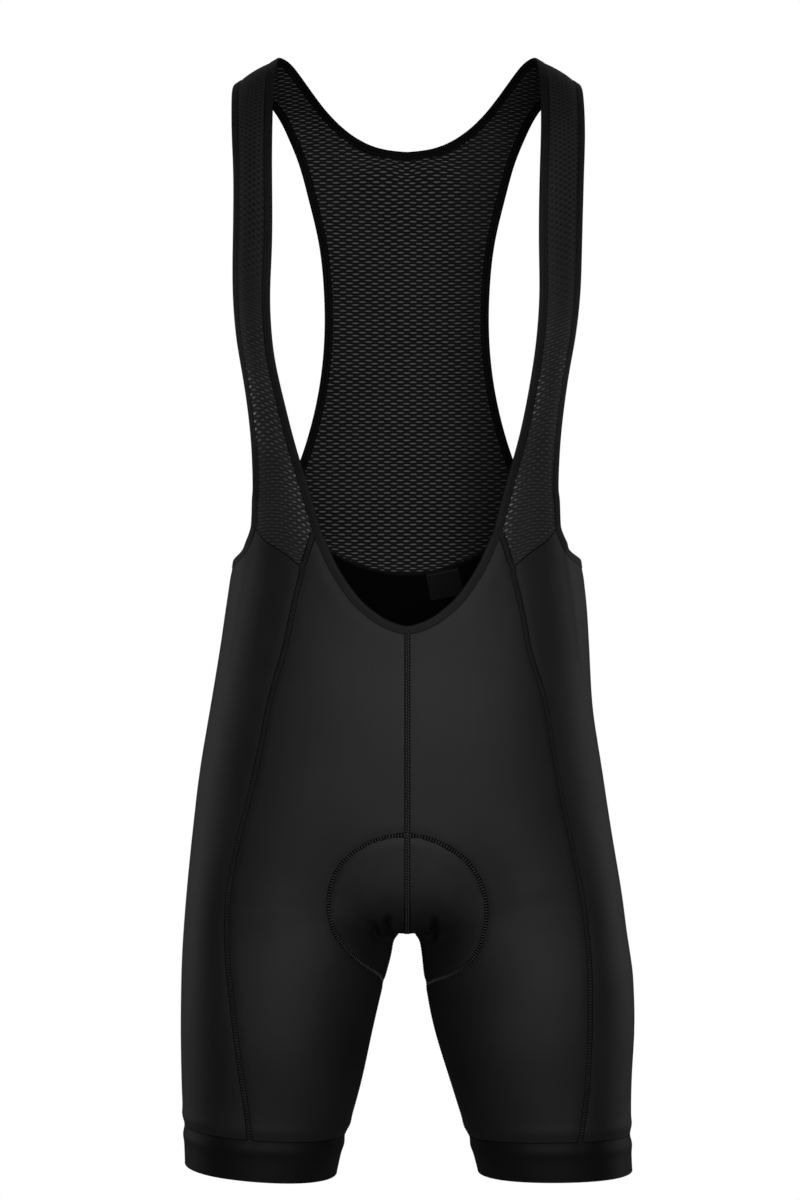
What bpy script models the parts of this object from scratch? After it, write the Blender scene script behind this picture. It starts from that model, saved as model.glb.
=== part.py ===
"""Cycling bib shorts in their worn, hollow form.

+Z is up, the front faces -Y and the wearer's left is at +X. The origin lies on the line between the
undersides of the two shoulder-strap crests, midway, where the wearer holds the garment up.

The whole cloth is one net of shared points. Each quad of the net belongs to one cut piece, each piece is
thickened into its own solid, and the bindings follow the net's free edges round the neck and armholes.
The tables and sizes are in millimetres. In them x is a distance from the middle of the garment.
"""

import math
from collections import namedtuple

import bpy
from mathutils import Vector

MM = 0.001

# Walls and seams
KNIT_WALL = 1.2
MESH_WALL = 1.0
GRIPPER_WALL = 1.4
SEAM_GAP = 0.3
BINDING_WIDTH = 7.0
BINDING_THICKNESS = 2.0
BINDING_TIP = 0.8

# Heights below the shoulder line
WAIST_Z = -486.0
HIP_Z = -600.0
CROTCH_Z = -722.0
THIGH_Z = -830.0
EVEN_TOP_Z = -446.0

# How the torso turns into two legs. A curve's powers are 2 in a quarter ellipse, and more is squarer:
# under is for its lower end and wall for its upper one.
Curve = namedtuple("Curve", "under wall")
FRONT_CURVE = Curve(2.5, 7.0)
BACK_CURVE = Curve(2.4, 2.4)
CROTCH_STRIP = 0.11
PAD_STRIP = 0.15
ARCH_DROP = 10.0
CROTCH_FULLNESS = 0.42
LEG_FULLNESS = 0.10
FULLNESS_TOP_Z = -610.0
FULLNESS_END_Z = -850.0

# How the cloth beside the crotch is eased: its reach, the share of each step and the number of steps
Edge = namedtuple("Edge", "x z")
SETTLE_REACH = Edge(58.0, 40.0)
SETTLE_SHARE = 0.9
SETTLE_STEPS = 10

# Columns and rows of the net
NECKLINE_COLUMNS = 9
V_INNER_COLUMNS = 2
V_OUTER_COLUMNS = 4
BACK_COLUMNS = 6
RIM_ROWS = 4
WAIST_ROWS = 5
HIP_ROWS = 7
ARCH_ROWS = 3
LEG_ROWS = 8
LEG_ROW_START = 0.45
SEAM_REACH = 0.18
GRIPPER_ROWS = 2
STRAP_BASE_ROWS = 3
STRAP_BASE_SETTLING = 1.5
STRAP_ROWS = 14
SHOULDER_ROWS = 8
SPINE_ROWS = 10

# Sections of the shorts. outer is how far the side lies from the middle on the wearer's right and left,
# and inner how far the gap between the legs does, or above the crotch the groove's wall; front and back
# are depths, and fullness squares the ellipse.
Level = namedtuple("Level", "z outer_right outer_left inner_right inner_left front back fullness")
LEVELS = (
    Level(-340, 148.0, 148.0, 10.8, 9.8, 108, 87, 0.14),
    Level(-375, 147.0, 146.0, 10.8, 9.8, 105, 85, 0.14),
    Level(-409, 146.4, 146.4, 10.8, 9.8, 101, 84, 0.13),
    Level(-447, 151.5, 150.4, 10.8, 9.8, 100, 85, 0.12),
    Level(-485, 157.1, 152.9, 10.8, 9.8, 101, 90, 0.12),
    Level(-535, 165.5, 156.2, 10.8, 9.8, 104, 101, 0.12),
    Level(-586, 173.9, 163.8, 10.8, 9.8, 105, 113, 0.12),
    Level(-636, 179.8, 171.4, 10.8, 9.8, 104, 119, 0.12),
    Level(-687, 184.8, 179.8, 10.8, 9.8, 101, 116, 0.12),
    Level(-723, 187.6, 184.6, 10.8, 9.8, 99, 108, 0.12),
    Level(-741, 188.6, 187.4, 13.4, 12.6, 97.6, 103, 0.12),
    Level(-758, 189.2, 189.5, 18.6, 15.0, 96, 98, 0.12),
    Level(-800, 189.8, 190.7, 28.6, 22.7, 91, 87, 0.12),
    Level(-850, 189.0, 188.2, 39.5, 37.8, 84, 76, 0.12),
    Level(-901, 186.8, 188.2, 53.8, 53.8, 77, 67, 0.12),
    Level(-926, 186.0, 189.2, 59.5, 60.5, 75, 64, 0.12),
)

# Princess seam between the front and side panels
Seam = namedtuple("Seam", "z right left")
PRINCESS_SEAM = (
    Seam(-415, 85.2, 85.6),
    Seam(-480, 99.0, 98.0),
    Seam(-523, 111.0, 111.5),
    Seam(-566, 119.6, 119.0),
    Seam(-604, 128.5, 126.0),
    Seam(-651, 140.3, 136.0),
    Seam(-688, 146.0, 143.0),
    Seam(-725, 146.5, 147.0),
    Seam(-758, 143.5, 149.0),
    Seam(-801, 138.0, 148.5),
    Seam(-851, 129.0, 143.0),
    Seam(-895, 124.5, 133.0),
)
SIDE_BACK_SEAM = 0.683

# Heights of the gripper's seam and of the hem, at the outer and inner side of each leg. Both slope a
# little, and rise by front_rise towards the front.
Cuff = namedtuple("Cuff", "outer inner front_rise")
GRIPPER_SEAM = {"left": Cuff(-891.0, -893.0, 7.0), "right": Cuff(-882.0, -891.0, 3.0)}
HEM = {"left": Cuff(-921.0, -922.5, 4.5), "right": Cuff(-914.5, -924.0, 2.5)}
CUFF_LEVEL = -870.0

# Edges of the cloth along the top of the shorts, without their bindings. The neckline's first row, beyond
# the middle, only keeps the curve level there.
NECKLINE = (
    Edge(-19.3, -465.0),
    Edge(0.0, -470.4),
    Edge(19.3, -465.0),
    Edge(35.5, -454.0),
    Edge(49.2, -439.8),
    Edge(63.5, -417.5),
    Edge(71.0, -401.0),
    Edge(76.1, -389.6),
)
V_INNER = (Edge(76.1, -389.6), Edge(80.4, -403.0), Edge(85.2, -415.4))
V_OUTER = (
    Edge(85.2, -415.4),
    Edge(95.0, -408.5),
    Edge(108.5, -399.5),
    Edge(117.5, -393.0),
    Edge(124.2, -384.6),
)

# Armhole edge under the arm, as turn round the body (0 centre front, 0.5 side, 1 centre back)
Turn = namedtuple("Turn", "u z")
ARMHOLE_SIDE = (
    Turn(0.45, -414.8),
    Turn(0.52, -416.4),
    Turn(0.59, -414.6),
    Turn(0.645, -409.6),
    Turn(SIDE_BACK_SEAM, -402.5),
)
ARMHOLE_FRONT = (Edge(130.2, -398.5), Edge(136.8, -408.5))
ARMHOLE_BACK = Turn(0.722, -389.5)

# Waist seam between the seat panels and the back mesh
WAIST_SEAM_MIDDLE_Z = -421.3
WAIST_SEAM_END = Edge(106.0, -373.0)

# Both edges of a front strap's mesh, from its base to the shoulder seam
Ribbon = namedtuple("Ribbon", "inner_x inner_y inner_z outer_x outer_y outer_z")
STRAP = (
    Ribbon(89.5, -94.5, -341.0, 121.3, -74.0, -349.0),
    Ribbon(99.8, -97.5, -306.0, 123.0, -79.5, -308.0),
    Ribbon(107.3, -100.5, -270.0, 128.2, -85.0, -268.0),
    Ribbon(112.5, -104.0, -238.0, 133.8, -88.5, -235.0),
    Ribbon(115.6, -105.5, -195.0, 136.9, -90.5, -192.0),
    Ribbon(115.0, -102.5, -150.0, 137.3, -88.0, -148.0),
    Ribbon(114.6, -94.5, -105.0, 137.8, -81.0, -105.0),
    Ribbon(114.9, -82.0, -68.0, 138.5, -71.0, -70.0),
    Ribbon(115.7, -61.0, -35.5, 139.6, -53.0, -41.5),
    Ribbon(116.5, -35.0, -9.0, 140.6, -31.0, -20.0),
    Ribbon(115.4, -11.0, 5.8, 140.0, -11.0, -8.5),
    Ribbon(112.2, 6.0, 10.0, 138.0, 5.0, -6.2),
)
STRAP_CROWN = 1.6
CROWN_ROWS = 3
# How far each edge of each strap hangs out from that ribbon, and the left armhole's front edge in from it
Lean = namedtuple("Lean", "z inner_right outer_right inner_left outer_left")
STRAP_LEAN = (
    Lean(10.0, 0.0, 0.0, 0.0, 0.0),
    Lean(-54.0, 1.6, 0.0, 0.8, 1.6),
    Lean(-103.0, 1.6, -0.6, -0.8, 1.0),
    Lean(-151.0, 0.4, 0.0, -2.4, 0.0),
    Lean(-200.0, 1.6, 0.8, -2.6, -0.8),
    Lean(-249.0, 2.4, 0.8, -2.4, -2.2),
    Lean(-297.0, 0.8, 0.8, -1.6, -1.6),
    Lean(-346.0, 1.0, 0.2, -0.4, -2.4),
)
LEFT_ARMHOLE_LEAN = 2.4

# Back mesh from the shoulder seam down to the bottom of the back neck: neck edge and armhole edge
SHOULDER = (
    Ribbon(112.2, 6.0, 10.0, 138.0, 5.0, -6.2),
    Ribbon(104.4, 21.0, 7.8, 131.5, 22.0, -6.0),
    Ribbon(94.5, 40.0, -1.8, 121.5, 40.0, -9.0),
    Ribbon(83.6, 60.0, -13.5, 112.0, 56.0, -15.0),
    Ribbon(71.6, 76.0, -26.3, 104.0, 69.0, -24.5),
    Ribbon(57.0, 86.0, -39.5, 97.2, 78.5, -38.0),
    Ribbon(38.5, 92.0, -50.6, 91.0, 86.0, -52.0),
    Ribbon(19.5, 95.0, -56.6, 84.8, 91.0, -70.0),
    Ribbon(0.0, 96.0, -58.5, 79.0, 95.0, -92.0),
)
# Back mesh from there down: middle of the back and armhole edge. The last row is the waist seam.
SPINE = (
    Ribbon(0.0, 96.0, -58.5, 79.0, 95.0, -92.0),
    Ribbon(0.0, 103.5, -90.0, 72.8, 97.5, -118.0),
    Ribbon(0.0, 107.5, -124.0, 68.2, 98.5, -146.0),
    Ribbon(0.0, 109.0, -160.0, 65.9, 99.0, -178.0),
    Ribbon(0.0, 108.5, -200.0, 65.6, 97.5, -212.0),
    Ribbon(0.0, 105.5, -243.0, 68.6, 94.0, -249.0),
    Ribbon(0.0, 101.0, -287.0, 75.4, 89.5, -286.0),
    Ribbon(0.0, 94.5, -332.0, 85.3, 83.0, -321.0),
    Ribbon(0.0, 88.0, -378.0, 95.8, 75.5, -347.5),
    Ribbon(0.0, 84.6, -421.3, 106.0, 67.0, -373.0),
)

# Label inside the waist seam, on the wearer's left
LABEL_WIDTH = 29.0
LABEL_HEIGHT = 20.0
LABEL_WALL = 1.0
LABEL_MIDDLE = Edge(33.0, -431.0)
LABEL_TILT = math.radians(11.0)
LABEL_LEAN = 2.0
LABEL_COLUMNS = 4
LABEL_ROWS = 3

Finish = namedtuple("Finish", "colour roughness")
KNIT = Finish((0.012, 0.012, 0.013), 0.62)
MESH = Finish((0.017, 0.017, 0.018), 0.68)
GRIPPER = Finish((0.006, 0.006, 0.006), 0.52)
BINDING = Finish((0.005, 0.005, 0.005), 0.70)
SATIN = Finish((0.010, 0.010, 0.010), 0.38)

SIDES = {"left": 1, "right": -1}

# Working values of the net: points closer than this are one, how far a sharp corner may move in, how
# many times a turn's span is halved, and the span of turn that gives the cloth's direction
SAME_POINT = 0.02
SHARPEST_CORNER = 0.5
TURN_STEPS = 40
SMALL_TURN = 0.004
SHARP_ANGLE = math.radians(40.0)


def mix(low, high, share):
    """Value that lies share of the way from low to high."""
    return low + (high - low) * share


def ease(share):
    """Smooth step from 0 to 1, level at both ends."""
    share = min(max(share, 0.0), 1.0)
    return share * share * (3.0 - 2.0 * share)


def hermite(rows, index, share):
    """Point on the smooth curve through the rows, share of the way from row index to the next."""
    before, start = rows[max(index - 1, 0)], rows[index]
    end, after = rows[index + 1], rows[min(index + 2, len(rows) - 1)]
    values = []
    for b, s, e, a in zip(before, start, end, after):
        leave, arrive = (e - b) / 2.0, (a - s) / 2.0
        values.append(
            s
            + leave * share
            + (3.0 * (e - s) - 2.0 * leave - arrive) * share**2
            + (2.0 * (s - e) + leave + arrive) * share**3
        )
    return values


def resample(rows, count, first=0):
    """Rows at count + 1 even steps along the smooth curve through a table, from its row first."""
    kind = type(rows[0])
    found = []
    for step in range(count + 1):
        place = first + step * (len(rows) - 1 - first) / count
        index = min(int(place), len(rows) - 2)
        found.append(kind(*hermite(rows, index, place - index)))
    return found


def level_at(table, z):
    """The table's row at height z, smoothly between its rows, which run downwards."""
    z = min(max(z, table[-1].z), table[0].z)
    index = max(i for i in range(len(table) - 1) if table[i].z >= z)
    upper, lower = table[index], table[index + 1]
    share = (upper.z - z) / (upper.z - lower.z)
    spans = []
    for column in range(1, len(upper)):
        slopes = []
        for near in (index, index + 1):
            above, below = table[max(near - 1, 0)], table[min(near + 1, len(table) - 1)]
            slopes.append((below[column] - above[column]) / (above.z - below.z))
        drop = upper.z - lower.z
        start, end = upper[column], lower[column]
        leave, arrive = slopes[0] * drop, slopes[1] * drop
        spans.append(
            start
            + leave * share
            + (3.0 * (end - start) - 2.0 * leave - arrive) * share**2
            + (2.0 * (start - end) + leave + arrive) * share**3
        )
    return type(upper)(z, *spans)


def body_point(side, u, z):
    """Point of the shorts' outer face, at turn u round one half and height z.

    The torso is a half ellipse from centre front to centre back. Below the hip it closes into a leg's
    ring. Centre front and centre back fall in a rounded curve to the crotch, where the cloth
    crosses between the legs as a low arch, and the groove above and behind the arch narrows into it.
    """
    level = level_at(LEVELS, z)
    outer = level.outer_left if side > 0 else level.outer_right
    gap = level.inner_left if side > 0 else level.inner_right
    depth = level.front if u < 0.5 else level.back
    sine, cosine = math.sin(math.pi * u), math.cos(math.pi * u)
    torso_x = outer * sine * (1.0 + level.fullness * cosine**2)
    torso_y = depth * abs(cosine) * (1.0 + level.fullness * sine**2)

    turn = 2.0 * math.pi * u
    settled = ease((FULLNESS_TOP_Z - z) / (FULLNESS_TOP_Z - FULLNESS_END_Z))
    leg_full = mix(CROTCH_FULLNESS, LEG_FULLNESS, settled)
    leg_y = depth * abs(math.sin(turn)) * (1.0 + leg_full * math.cos(turn) ** 2)

    fall = min(max((HIP_Z - z) / (HIP_Z - CROTCH_Z), 0.0), 1.0)
    curve = FRONT_CURVE if u < 0.5 else BACK_CURVE
    at_seam = 1.0 - (1.0 - fall**curve.wall) ** (1.0 / curve.under)
    from_seam = ease(min(u, 1.0 - u) / CROTCH_STRIP)
    near_pad = 1.0 - ease(min(u, 1.0 - u) / PAD_STRIP)
    at_thigh = ease((HIP_Z - z) / (HIP_Z - THIGH_Z)) * mix(1.0, at_seam, near_pad)
    share = mix(at_seam, at_thigh, from_seam)
    y = mix(torso_y, leg_y, share)

    under = (1.0 - min(y / depth, 1.0) ** curve.under) ** (1.0 / curve.wall)
    seam_z = mix(HIP_Z, CROTCH_Z, under)
    below_seam = min(max((seam_z - z) / ARCH_DROP, 0.0), 1.0)
    arch = gap * math.sqrt(1.0 - (1.0 - below_seam) ** 2)
    wall = mix(sine * sine, mix(sine, sine * sine, at_thigh), from_seam)
    leg_x = mix(arch, gap, from_seam) + (outer - gap) * wall
    return Vector((side * mix(torso_x, leg_x, share), y if u > 0.5 else -y, z))


def turn_at(side, x, z, behind=False):
    """Turn u at which the shorts lie x from the middle at height z, on the front or the back."""
    low, high = (1.0, 0.5) if behind else (0.0, 0.5)
    for _ in range(TURN_STEPS):
        middle = (low + high) / 2.0
        if abs(body_point(side, middle, z).x) < x:
            low = middle
        else:
            high = middle
    return (low + high) / 2.0


def princess_turn(side, z):
    """Turn u of the princess seam at height z."""
    seam = level_at(PRINCESS_SEAM, z)
    return turn_at(side, seam.left if side > 0 else seam.right, z)


class Net:
    """The garment's outer face: points shared between pieces, and faces that each belong to one piece."""

    def __init__(self):
        self.points = []
        self.keys = {}
        self.faces = []
        self.fixed = set()

    def index(self, point):
        """Number of the point, which is shared with any point at the same place."""
        key = tuple(round(value / SAME_POINT) for value in point)
        if key not in self.keys:
            self.keys[key] = len(self.points)
            self.points.append(Vector(point))
        return self.keys[key]

    def add(self, piece, rows, side):
        """Adds a grid of points whose rows run downwards, and whose columns run away from the middle."""
        for upper, lower in zip(rows, rows[1:]):
            for column in range(len(upper) - 1):
                corners = (upper[column], lower[column], lower[column + 1], upper[column + 1])
                face = list(dict.fromkeys(self.index(corner) for corner in corners))
                if len(face) > 2:
                    self.faces.append((piece, face if side > 0 else face[::-1]))

    def face_normal(self, face):
        """Normal of a face, as long as twice its area."""
        total = Vector((0.0, 0.0, 0.0))
        for number in range(1, len(face) - 1):
            total += (self.points[face[number]] - self.points[face[0]]).cross(
                self.points[face[number + 1]] - self.points[face[0]]
            )
        return total

    def normals(self):
        """Unit normal of each point, from all faces round it."""
        found = [Vector((0.0, 0.0, 0.0)) for _ in self.points]
        for _, face in self.faces:
            normal = self.face_normal(face)
            for corner in face:
                found[corner] += normal
        return [normal.normalized() for normal in found]

    def border(self, faces):
        """Edges (start, end) that only one of the faces has, with the face each belongs to."""
        edges = {}
        for face in faces:
            for start, end in zip(face, face[1:] + face[:1]):
                edges[(start, end)] = face
        return {edge: face for edge, face in edges.items() if edge[::-1] not in edges}

    def inward(self, border):
        """For each border point, the move into the cloth that keeps both its edges one unit away."""
        directions = {}
        for (start, end), face in border.items():
            along = self.points[end] - self.points[start]
            into = self.face_normal(face).cross(along).normalized()
            directions.setdefault(start, []).append(into)
            directions.setdefault(end, []).append(into)
        moves = {}
        for point, found in directions.items():
            total = found[0] + found[-1]
            moves[point] = total / max(1.0 + found[0].dot(found[-1]), SHARPEST_CORNER)
        return moves


def hung(side, edge):
    """The edge's place on one half: towards the armhole, the left one lies further in."""
    towards = ease((edge.x - V_OUTER[0].x) / (V_OUTER[-1].x - V_OUTER[0].x))
    return Edge(edge.x - LEFT_ARMHOLE_LEAN * towards, edge.z) if side > 0 else edge


def rim_turns(side, edges):
    """Turn and height of each place along the front rim of one half."""
    return [Turn(turn_at(side, hung(side, edge).x, edge.z), edge.z) for edge in edges]


def settle(net):
    """Eases the cloth beside the crotch into a soft saddle. The centre seams and inseams stay."""
    neighbours = {}
    for _, face in net.faces:
        for start, end in zip(face, face[1:] + face[:1]):
            neighbours.setdefault(start, set()).add(end)
            neighbours.setdefault(end, set()).add(start)
    shares = {}
    for number, point in enumerate(net.points):
        away = math.hypot(point.x / SETTLE_REACH.x, (point.z - CROTCH_Z) / SETTLE_REACH.z)
        if away < 1.0 and number not in net.fixed:
            shares[number] = SETTLE_SHARE * ease(1.0 - away)
    for _ in range(SETTLE_STEPS):
        moved = {}
        for number, share in shares.items():
            near = [net.points[other] for other in sorted(neighbours[number])]
            middle = sum(near, Vector((0.0, 0.0, 0.0))) / len(near)
            moved[number] = net.points[number].lerp(middle, share)
        for number, point in moved.items():
            net.points[number] = point


def top_edge(side):
    """Turn and height of each column along the top of one half, from centre front to centre back."""
    front = rim_turns(side, resample(NECKLINE, NECKLINE_COLUMNS, first=1))
    front += rim_turns(side, resample(V_INNER, V_INNER_COLUMNS)[1:])
    middle = [front[-1]]
    middle += rim_turns(side, resample(V_OUTER, V_OUTER_COLUMNS)[1:])
    middle += rim_turns(side, ARMHOLE_FRONT)
    middle += list(ARMHOLE_SIDE)
    rear = [middle[-1], ARMHOLE_BACK]
    for column in range(BACK_COLUMNS, -1, -1):
        edge = waist_seam(column / BACK_COLUMNS)
        rear.append(Turn(turn_at(side, edge.x, edge.z, behind=True) if edge.x else 1.0, edge.z))
    return front, middle, rear


def waist_seam(share):
    """Place on the waist seam, from the middle of the back (0) to the armhole (1)."""
    return Edge(WAIST_SEAM_END.x * share, mix(WAIST_SEAM_MIDDLE_Z, WAIST_SEAM_END.z, share**2))


def cuff_height(cuff, u):
    """Height of a gripper seam or hem at turn u round the leg."""
    turn = 2.0 * math.pi * u
    return mix(cuff.inner, cuff.outer, (1.0 - math.cos(turn)) / 2.0) + cuff.front_rise * math.sin(turn)


def body_heights():
    """Heights of the level rows below the rim rows, close together where the crotch turns."""
    heights = [mix(WAIST_Z, HIP_Z, row / WAIST_ROWS) for row in range(WAIST_ROWS + 1)]
    for row in range(1, HIP_ROWS + 1):
        heights.append(mix(HIP_Z, CROTCH_Z, math.sin(math.pi / 2.0 * row / HIP_ROWS)))
    for row in range(1, ARCH_ROWS + 1):
        heights.append(CROTCH_Z - ARCH_DROP * (1.0 - math.cos(math.pi / 2.0 * row / ARCH_ROWS)))
    return heights


def add_shorts(net, name, side):
    """Front, side and seat panels and the gripper of one half."""
    heights = body_heights()
    even_heights = heights[: WAIST_ROWS + 1]
    lower_rows = HIP_ROWS + ARCH_ROWS
    even_heights += [mix(HIP_Z, heights[-1], row / lower_rows) for row in range(1, lower_rows + 1)]
    spans = (
        ("front_panel_" + name, lambda z: 0.0, lambda z: princess_turn(side, z)),
        ("side_panel_" + name, lambda z: princess_turn(side, z), lambda z: SIDE_BACK_SEAM),
        ("seat_panel_" + name, lambda z: SIDE_BACK_SEAM, lambda z: 1.0),
    )
    gripper_rows = [[] for _ in range(GRIPPER_ROWS + 1)]
    for (piece, start, end), top in zip(spans, top_edge(side)):
        columns = len(top) - 1
        first, last = top[0].u, top[-1].u
        # The columns keep the spacing of the top edge at the waist and become even towards the hem.
        spread = [(turn.u - first) / (last - first) for turn in top]

        def turns(z):
            """Turn of each column at height z."""
            evenness = ease((EVEN_TOP_Z - z) / (EVEN_TOP_Z - HIP_Z))
            low, high = start(z), end(z)
            return [
                mix(low, high, mix(share, column / columns, evenness)) for column, share in enumerate(spread)
            ]

        waist = turns(WAIST_Z)
        rows = []
        for row in range(RIM_ROWS):
            share = row / RIM_ROWS
            rows.append(
                [
                    body_point(side, mix(turn.u, low, share), mix(turn.z, WAIST_Z, share))
                    for turn, low in zip(top, waist)
                ]
            )
        for z, even in zip(heights, even_heights):
            row = []
            for near, far in zip(turns(z), turns(even)):
                off = ease(min(near, 1.0 - near) / SEAM_REACH)
                row.append(body_point(side, mix(near, far, off), mix(z, even, off)))
            rows.append(row)
        for row in range(1, LEG_ROWS + 1):
            share = row / LEG_ROWS
            share *= mix(LEG_ROW_START, 1.0, share)
            at = turns(mix(heights[-1], CUFF_LEVEL, share))
            rows.append(
                [body_point(side, u, mix(heights[-1], cuff_height(GRIPPER_SEAM[name], u), share)) for u in at]
            )
        net.add(piece, rows, side)
        if piece.startswith("front"):
            net.fixed.update(net.index(row[0]) for row in rows)
        if piece.startswith("seat"):
            net.fixed.update(net.index(row[-1]) for row in rows)
        for row, gripper_row in enumerate(gripper_rows):
            share = row / GRIPPER_ROWS
            points = [
                body_point(side, u, mix(cuff_height(GRIPPER_SEAM[name], u), cuff_height(HEM[name], u), share))
                for u in turns(CUFF_LEVEL)
            ]
            gripper_row.extend(points if not gripper_row else points[1:])
    net.add("gripper_" + name, gripper_rows, side)


def ribbon_row(ribbon, columns, side, bend=1.0, drop=1.0):
    """Points across a ribbon from its inner to its outer edge. bend and drop shape its y and its z."""
    points = []
    for column in range(columns + 1):
        share = column / columns
        points.append(
            Vector(
                (
                    side * mix(ribbon.inner_x, ribbon.outer_x, share),
                    mix(ribbon.inner_y, ribbon.outer_y, share**bend),
                    mix(ribbon.inner_z, ribbon.outer_z, share**drop),
                )
            )
        )
    return points


def crowned(rows, height, side):
    """The rows with their middle raised out of the flat. Their edges and the first row stay."""
    found = []
    for number, row in enumerate(rows):
        above, below = rows[max(number - 1, 0)], rows[min(number + 1, len(rows) - 1)]
        columns = len(row) - 1
        raised = []
        for column, point in enumerate(row):
            down = below[column] - above[column]
            normal = down.cross(row[-1] - row[0]).normalized() * side
            share = column / columns
            away = min(number / CROWN_ROWS, 1.0)
            raised.append(point + normal * height * away * 4.0 * share * (1.0 - share))
        found.append(raised)
    return found


def leaned(ribbon, side):
    """The ribbon as it hangs on one half of the garment."""
    lean = level_at(STRAP_LEAN, ribbon.inner_z)
    inner, outer = (lean.inner_left, lean.outer_left) if side > 0 else (lean.inner_right, lean.outer_right)
    return ribbon._replace(inner_x=ribbon.inner_x + inner, outer_x=ribbon.outer_x + outer)


def add_strap(net, name, side):
    """Front strap, from the shoulder seam down to its V on the shorts."""
    columns = V_INNER_COLUMNS + V_OUTER_COLUMNS
    ribbons = [leaned(ribbon, side) for ribbon in reversed(resample(STRAP, STRAP_ROWS))]
    rows = crowned([ribbon_row(ribbon, columns, side) for ribbon in ribbons], STRAP_CROWN, side)
    v_edge = resample(V_INNER, V_INNER_COLUMNS) + resample(V_OUTER, V_OUTER_COLUMNS)[1:]
    v_edge = [hung(side, edge) for edge in v_edge]
    foot = rows[-1]
    for row in range(1, STRAP_BASE_ROWS + 1):
        share = row / STRAP_BASE_ROWS
        points = []
        for low, high in zip(v_edge, foot):
            x, z = mix(abs(high.x), low.x, share), mix(high.z, low.z, share)
            on_body = body_point(side, turn_at(side, x, z), z)
            y = mix(high.y, on_body.y, ease(share * STRAP_BASE_SETTLING))
            points.append(on_body if row == STRAP_BASE_ROWS else Vector((on_body.x, y, z)))
        rows.append(points)
    net.add("strap_" + name, rows, side)


def add_back(net, side):
    """One half of the back mesh. The two halves share the points of the middle of the back."""
    rows = []
    for number, ribbon in enumerate(resample(SHOULDER, SHOULDER_ROWS)):
        rows.append(ribbon_row(ribbon, BACK_COLUMNS, side, bend=1.0 + number / SHOULDER_ROWS))
    spine = resample(SPINE, SPINE_ROWS)
    for number, ribbon in enumerate(spine[1:-1], 1):
        rows.append(ribbon_row(ribbon, BACK_COLUMNS, side, bend=2.0, drop=1.0 + number / SPINE_ROWS))
    seam = []
    for column in range(BACK_COLUMNS + 1):
        edge = waist_seam(column / BACK_COLUMNS)
        turn = turn_at(side, edge.x, edge.z, behind=True) if edge.x else 1.0
        seam.append(body_point(side, turn, edge.z))
    rows.append(seam)
    # Seen from behind, the columns of each half run the other way round than in front.
    net.add("back_mesh", rows, -side)


def material(name, finish):
    """Principled material of a finish."""
    made = bpy.data.materials.new(name)
    made.use_nodes = True
    shader = made.node_tree.nodes["Principled BSDF"]
    shader.inputs["Base Color"].default_value = (*finish.colour, 1.0)
    shader.inputs["Roughness"].default_value = finish.roughness
    return made


def make_object(name, points, faces, finish):
    """Mesh object of a closed solid, in metres."""
    mesh = bpy.data.meshes.new(name)
    mesh.from_pydata([point * MM for point in points], [], faces)
    mesh.update()
    mesh.shade_smooth()
    mesh.set_sharp_from_angle(angle=SHARP_ANGLE)
    mesh.materials.append(finish)
    made = bpy.data.objects.new(name, mesh)
    bpy.context.scene.collection.objects.link(made)
    return made


def make_panel(net, normals, piece, wall, finish):
    """Solid of one cut piece: its outer face, the same face moved in by the wall, and its cut edges."""
    faces = [face for owner, face in net.faces if owner == piece]
    border = net.border(faces)
    moves = net.inward(border)
    numbers = {}
    for face in faces:
        for corner in face:
            numbers.setdefault(corner, len(numbers))
    still = Vector((0.0, 0.0, 0.0))
    outer = [net.points[corner] + moves.get(corner, still) * (SEAM_GAP / 2.0) for corner in numbers]
    inner = [point - normals[corner] * wall for point, corner in zip(outer, numbers)]
    count = len(outer)
    solid = [[numbers[corner] for corner in face] for face in faces]
    solid += [[numbers[corner] + count for corner in reversed(face)] for face in faces]
    for start, end in border:
        solid.append([numbers[end], numbers[start], numbers[start] + count, numbers[end] + count])
    return make_object(piece, outer + inner, solid, finish)


def free_loops(net):
    """Closed loops of the net's free edges, in order."""
    border = net.border([face for _, face in net.faces])
    following = {start: end for start, end in border}
    moves = net.inward(border)
    loops = []
    while following:
        start, end = following.popitem()
        loop = [start]
        while end != start:
            loop.append(end)
            end = following.pop(end)
        loops.append(loop)
    return loops, moves


def make_binding(net, normals, name, loop, moves, finish):
    """Folded strip along a free loop of cloth, from the cloth's edge out into the opening."""
    half = BINDING_THICKNESS / 2.0
    start = SEAM_GAP / 2.0
    across = ((start, half), (start + BINDING_WIDTH - BINDING_TIP, half), (start + BINDING_WIDTH, 0.0))
    across += ((start + BINDING_WIDTH - BINDING_TIP, -half), (start, -half))
    points = []
    for corner in loop:
        out = -moves[corner]
        out = out - normals[corner] * out.dot(normals[corner])
        middle = net.points[corner] - normals[corner] * (KNIT_WALL / 2.0)
        points += [middle + out * reach + normals[corner] * height for reach, height in across]
    size = len(across)
    faces = []
    for number in range(len(loop)):
        here, there = number * size, (number + 1) % len(loop) * size
        for corner in range(size):
            after = (corner + 1) % size
            faces.append([here + corner, here + after, there + after, there + corner])
    return make_object(name, points, faces, finish)


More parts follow.
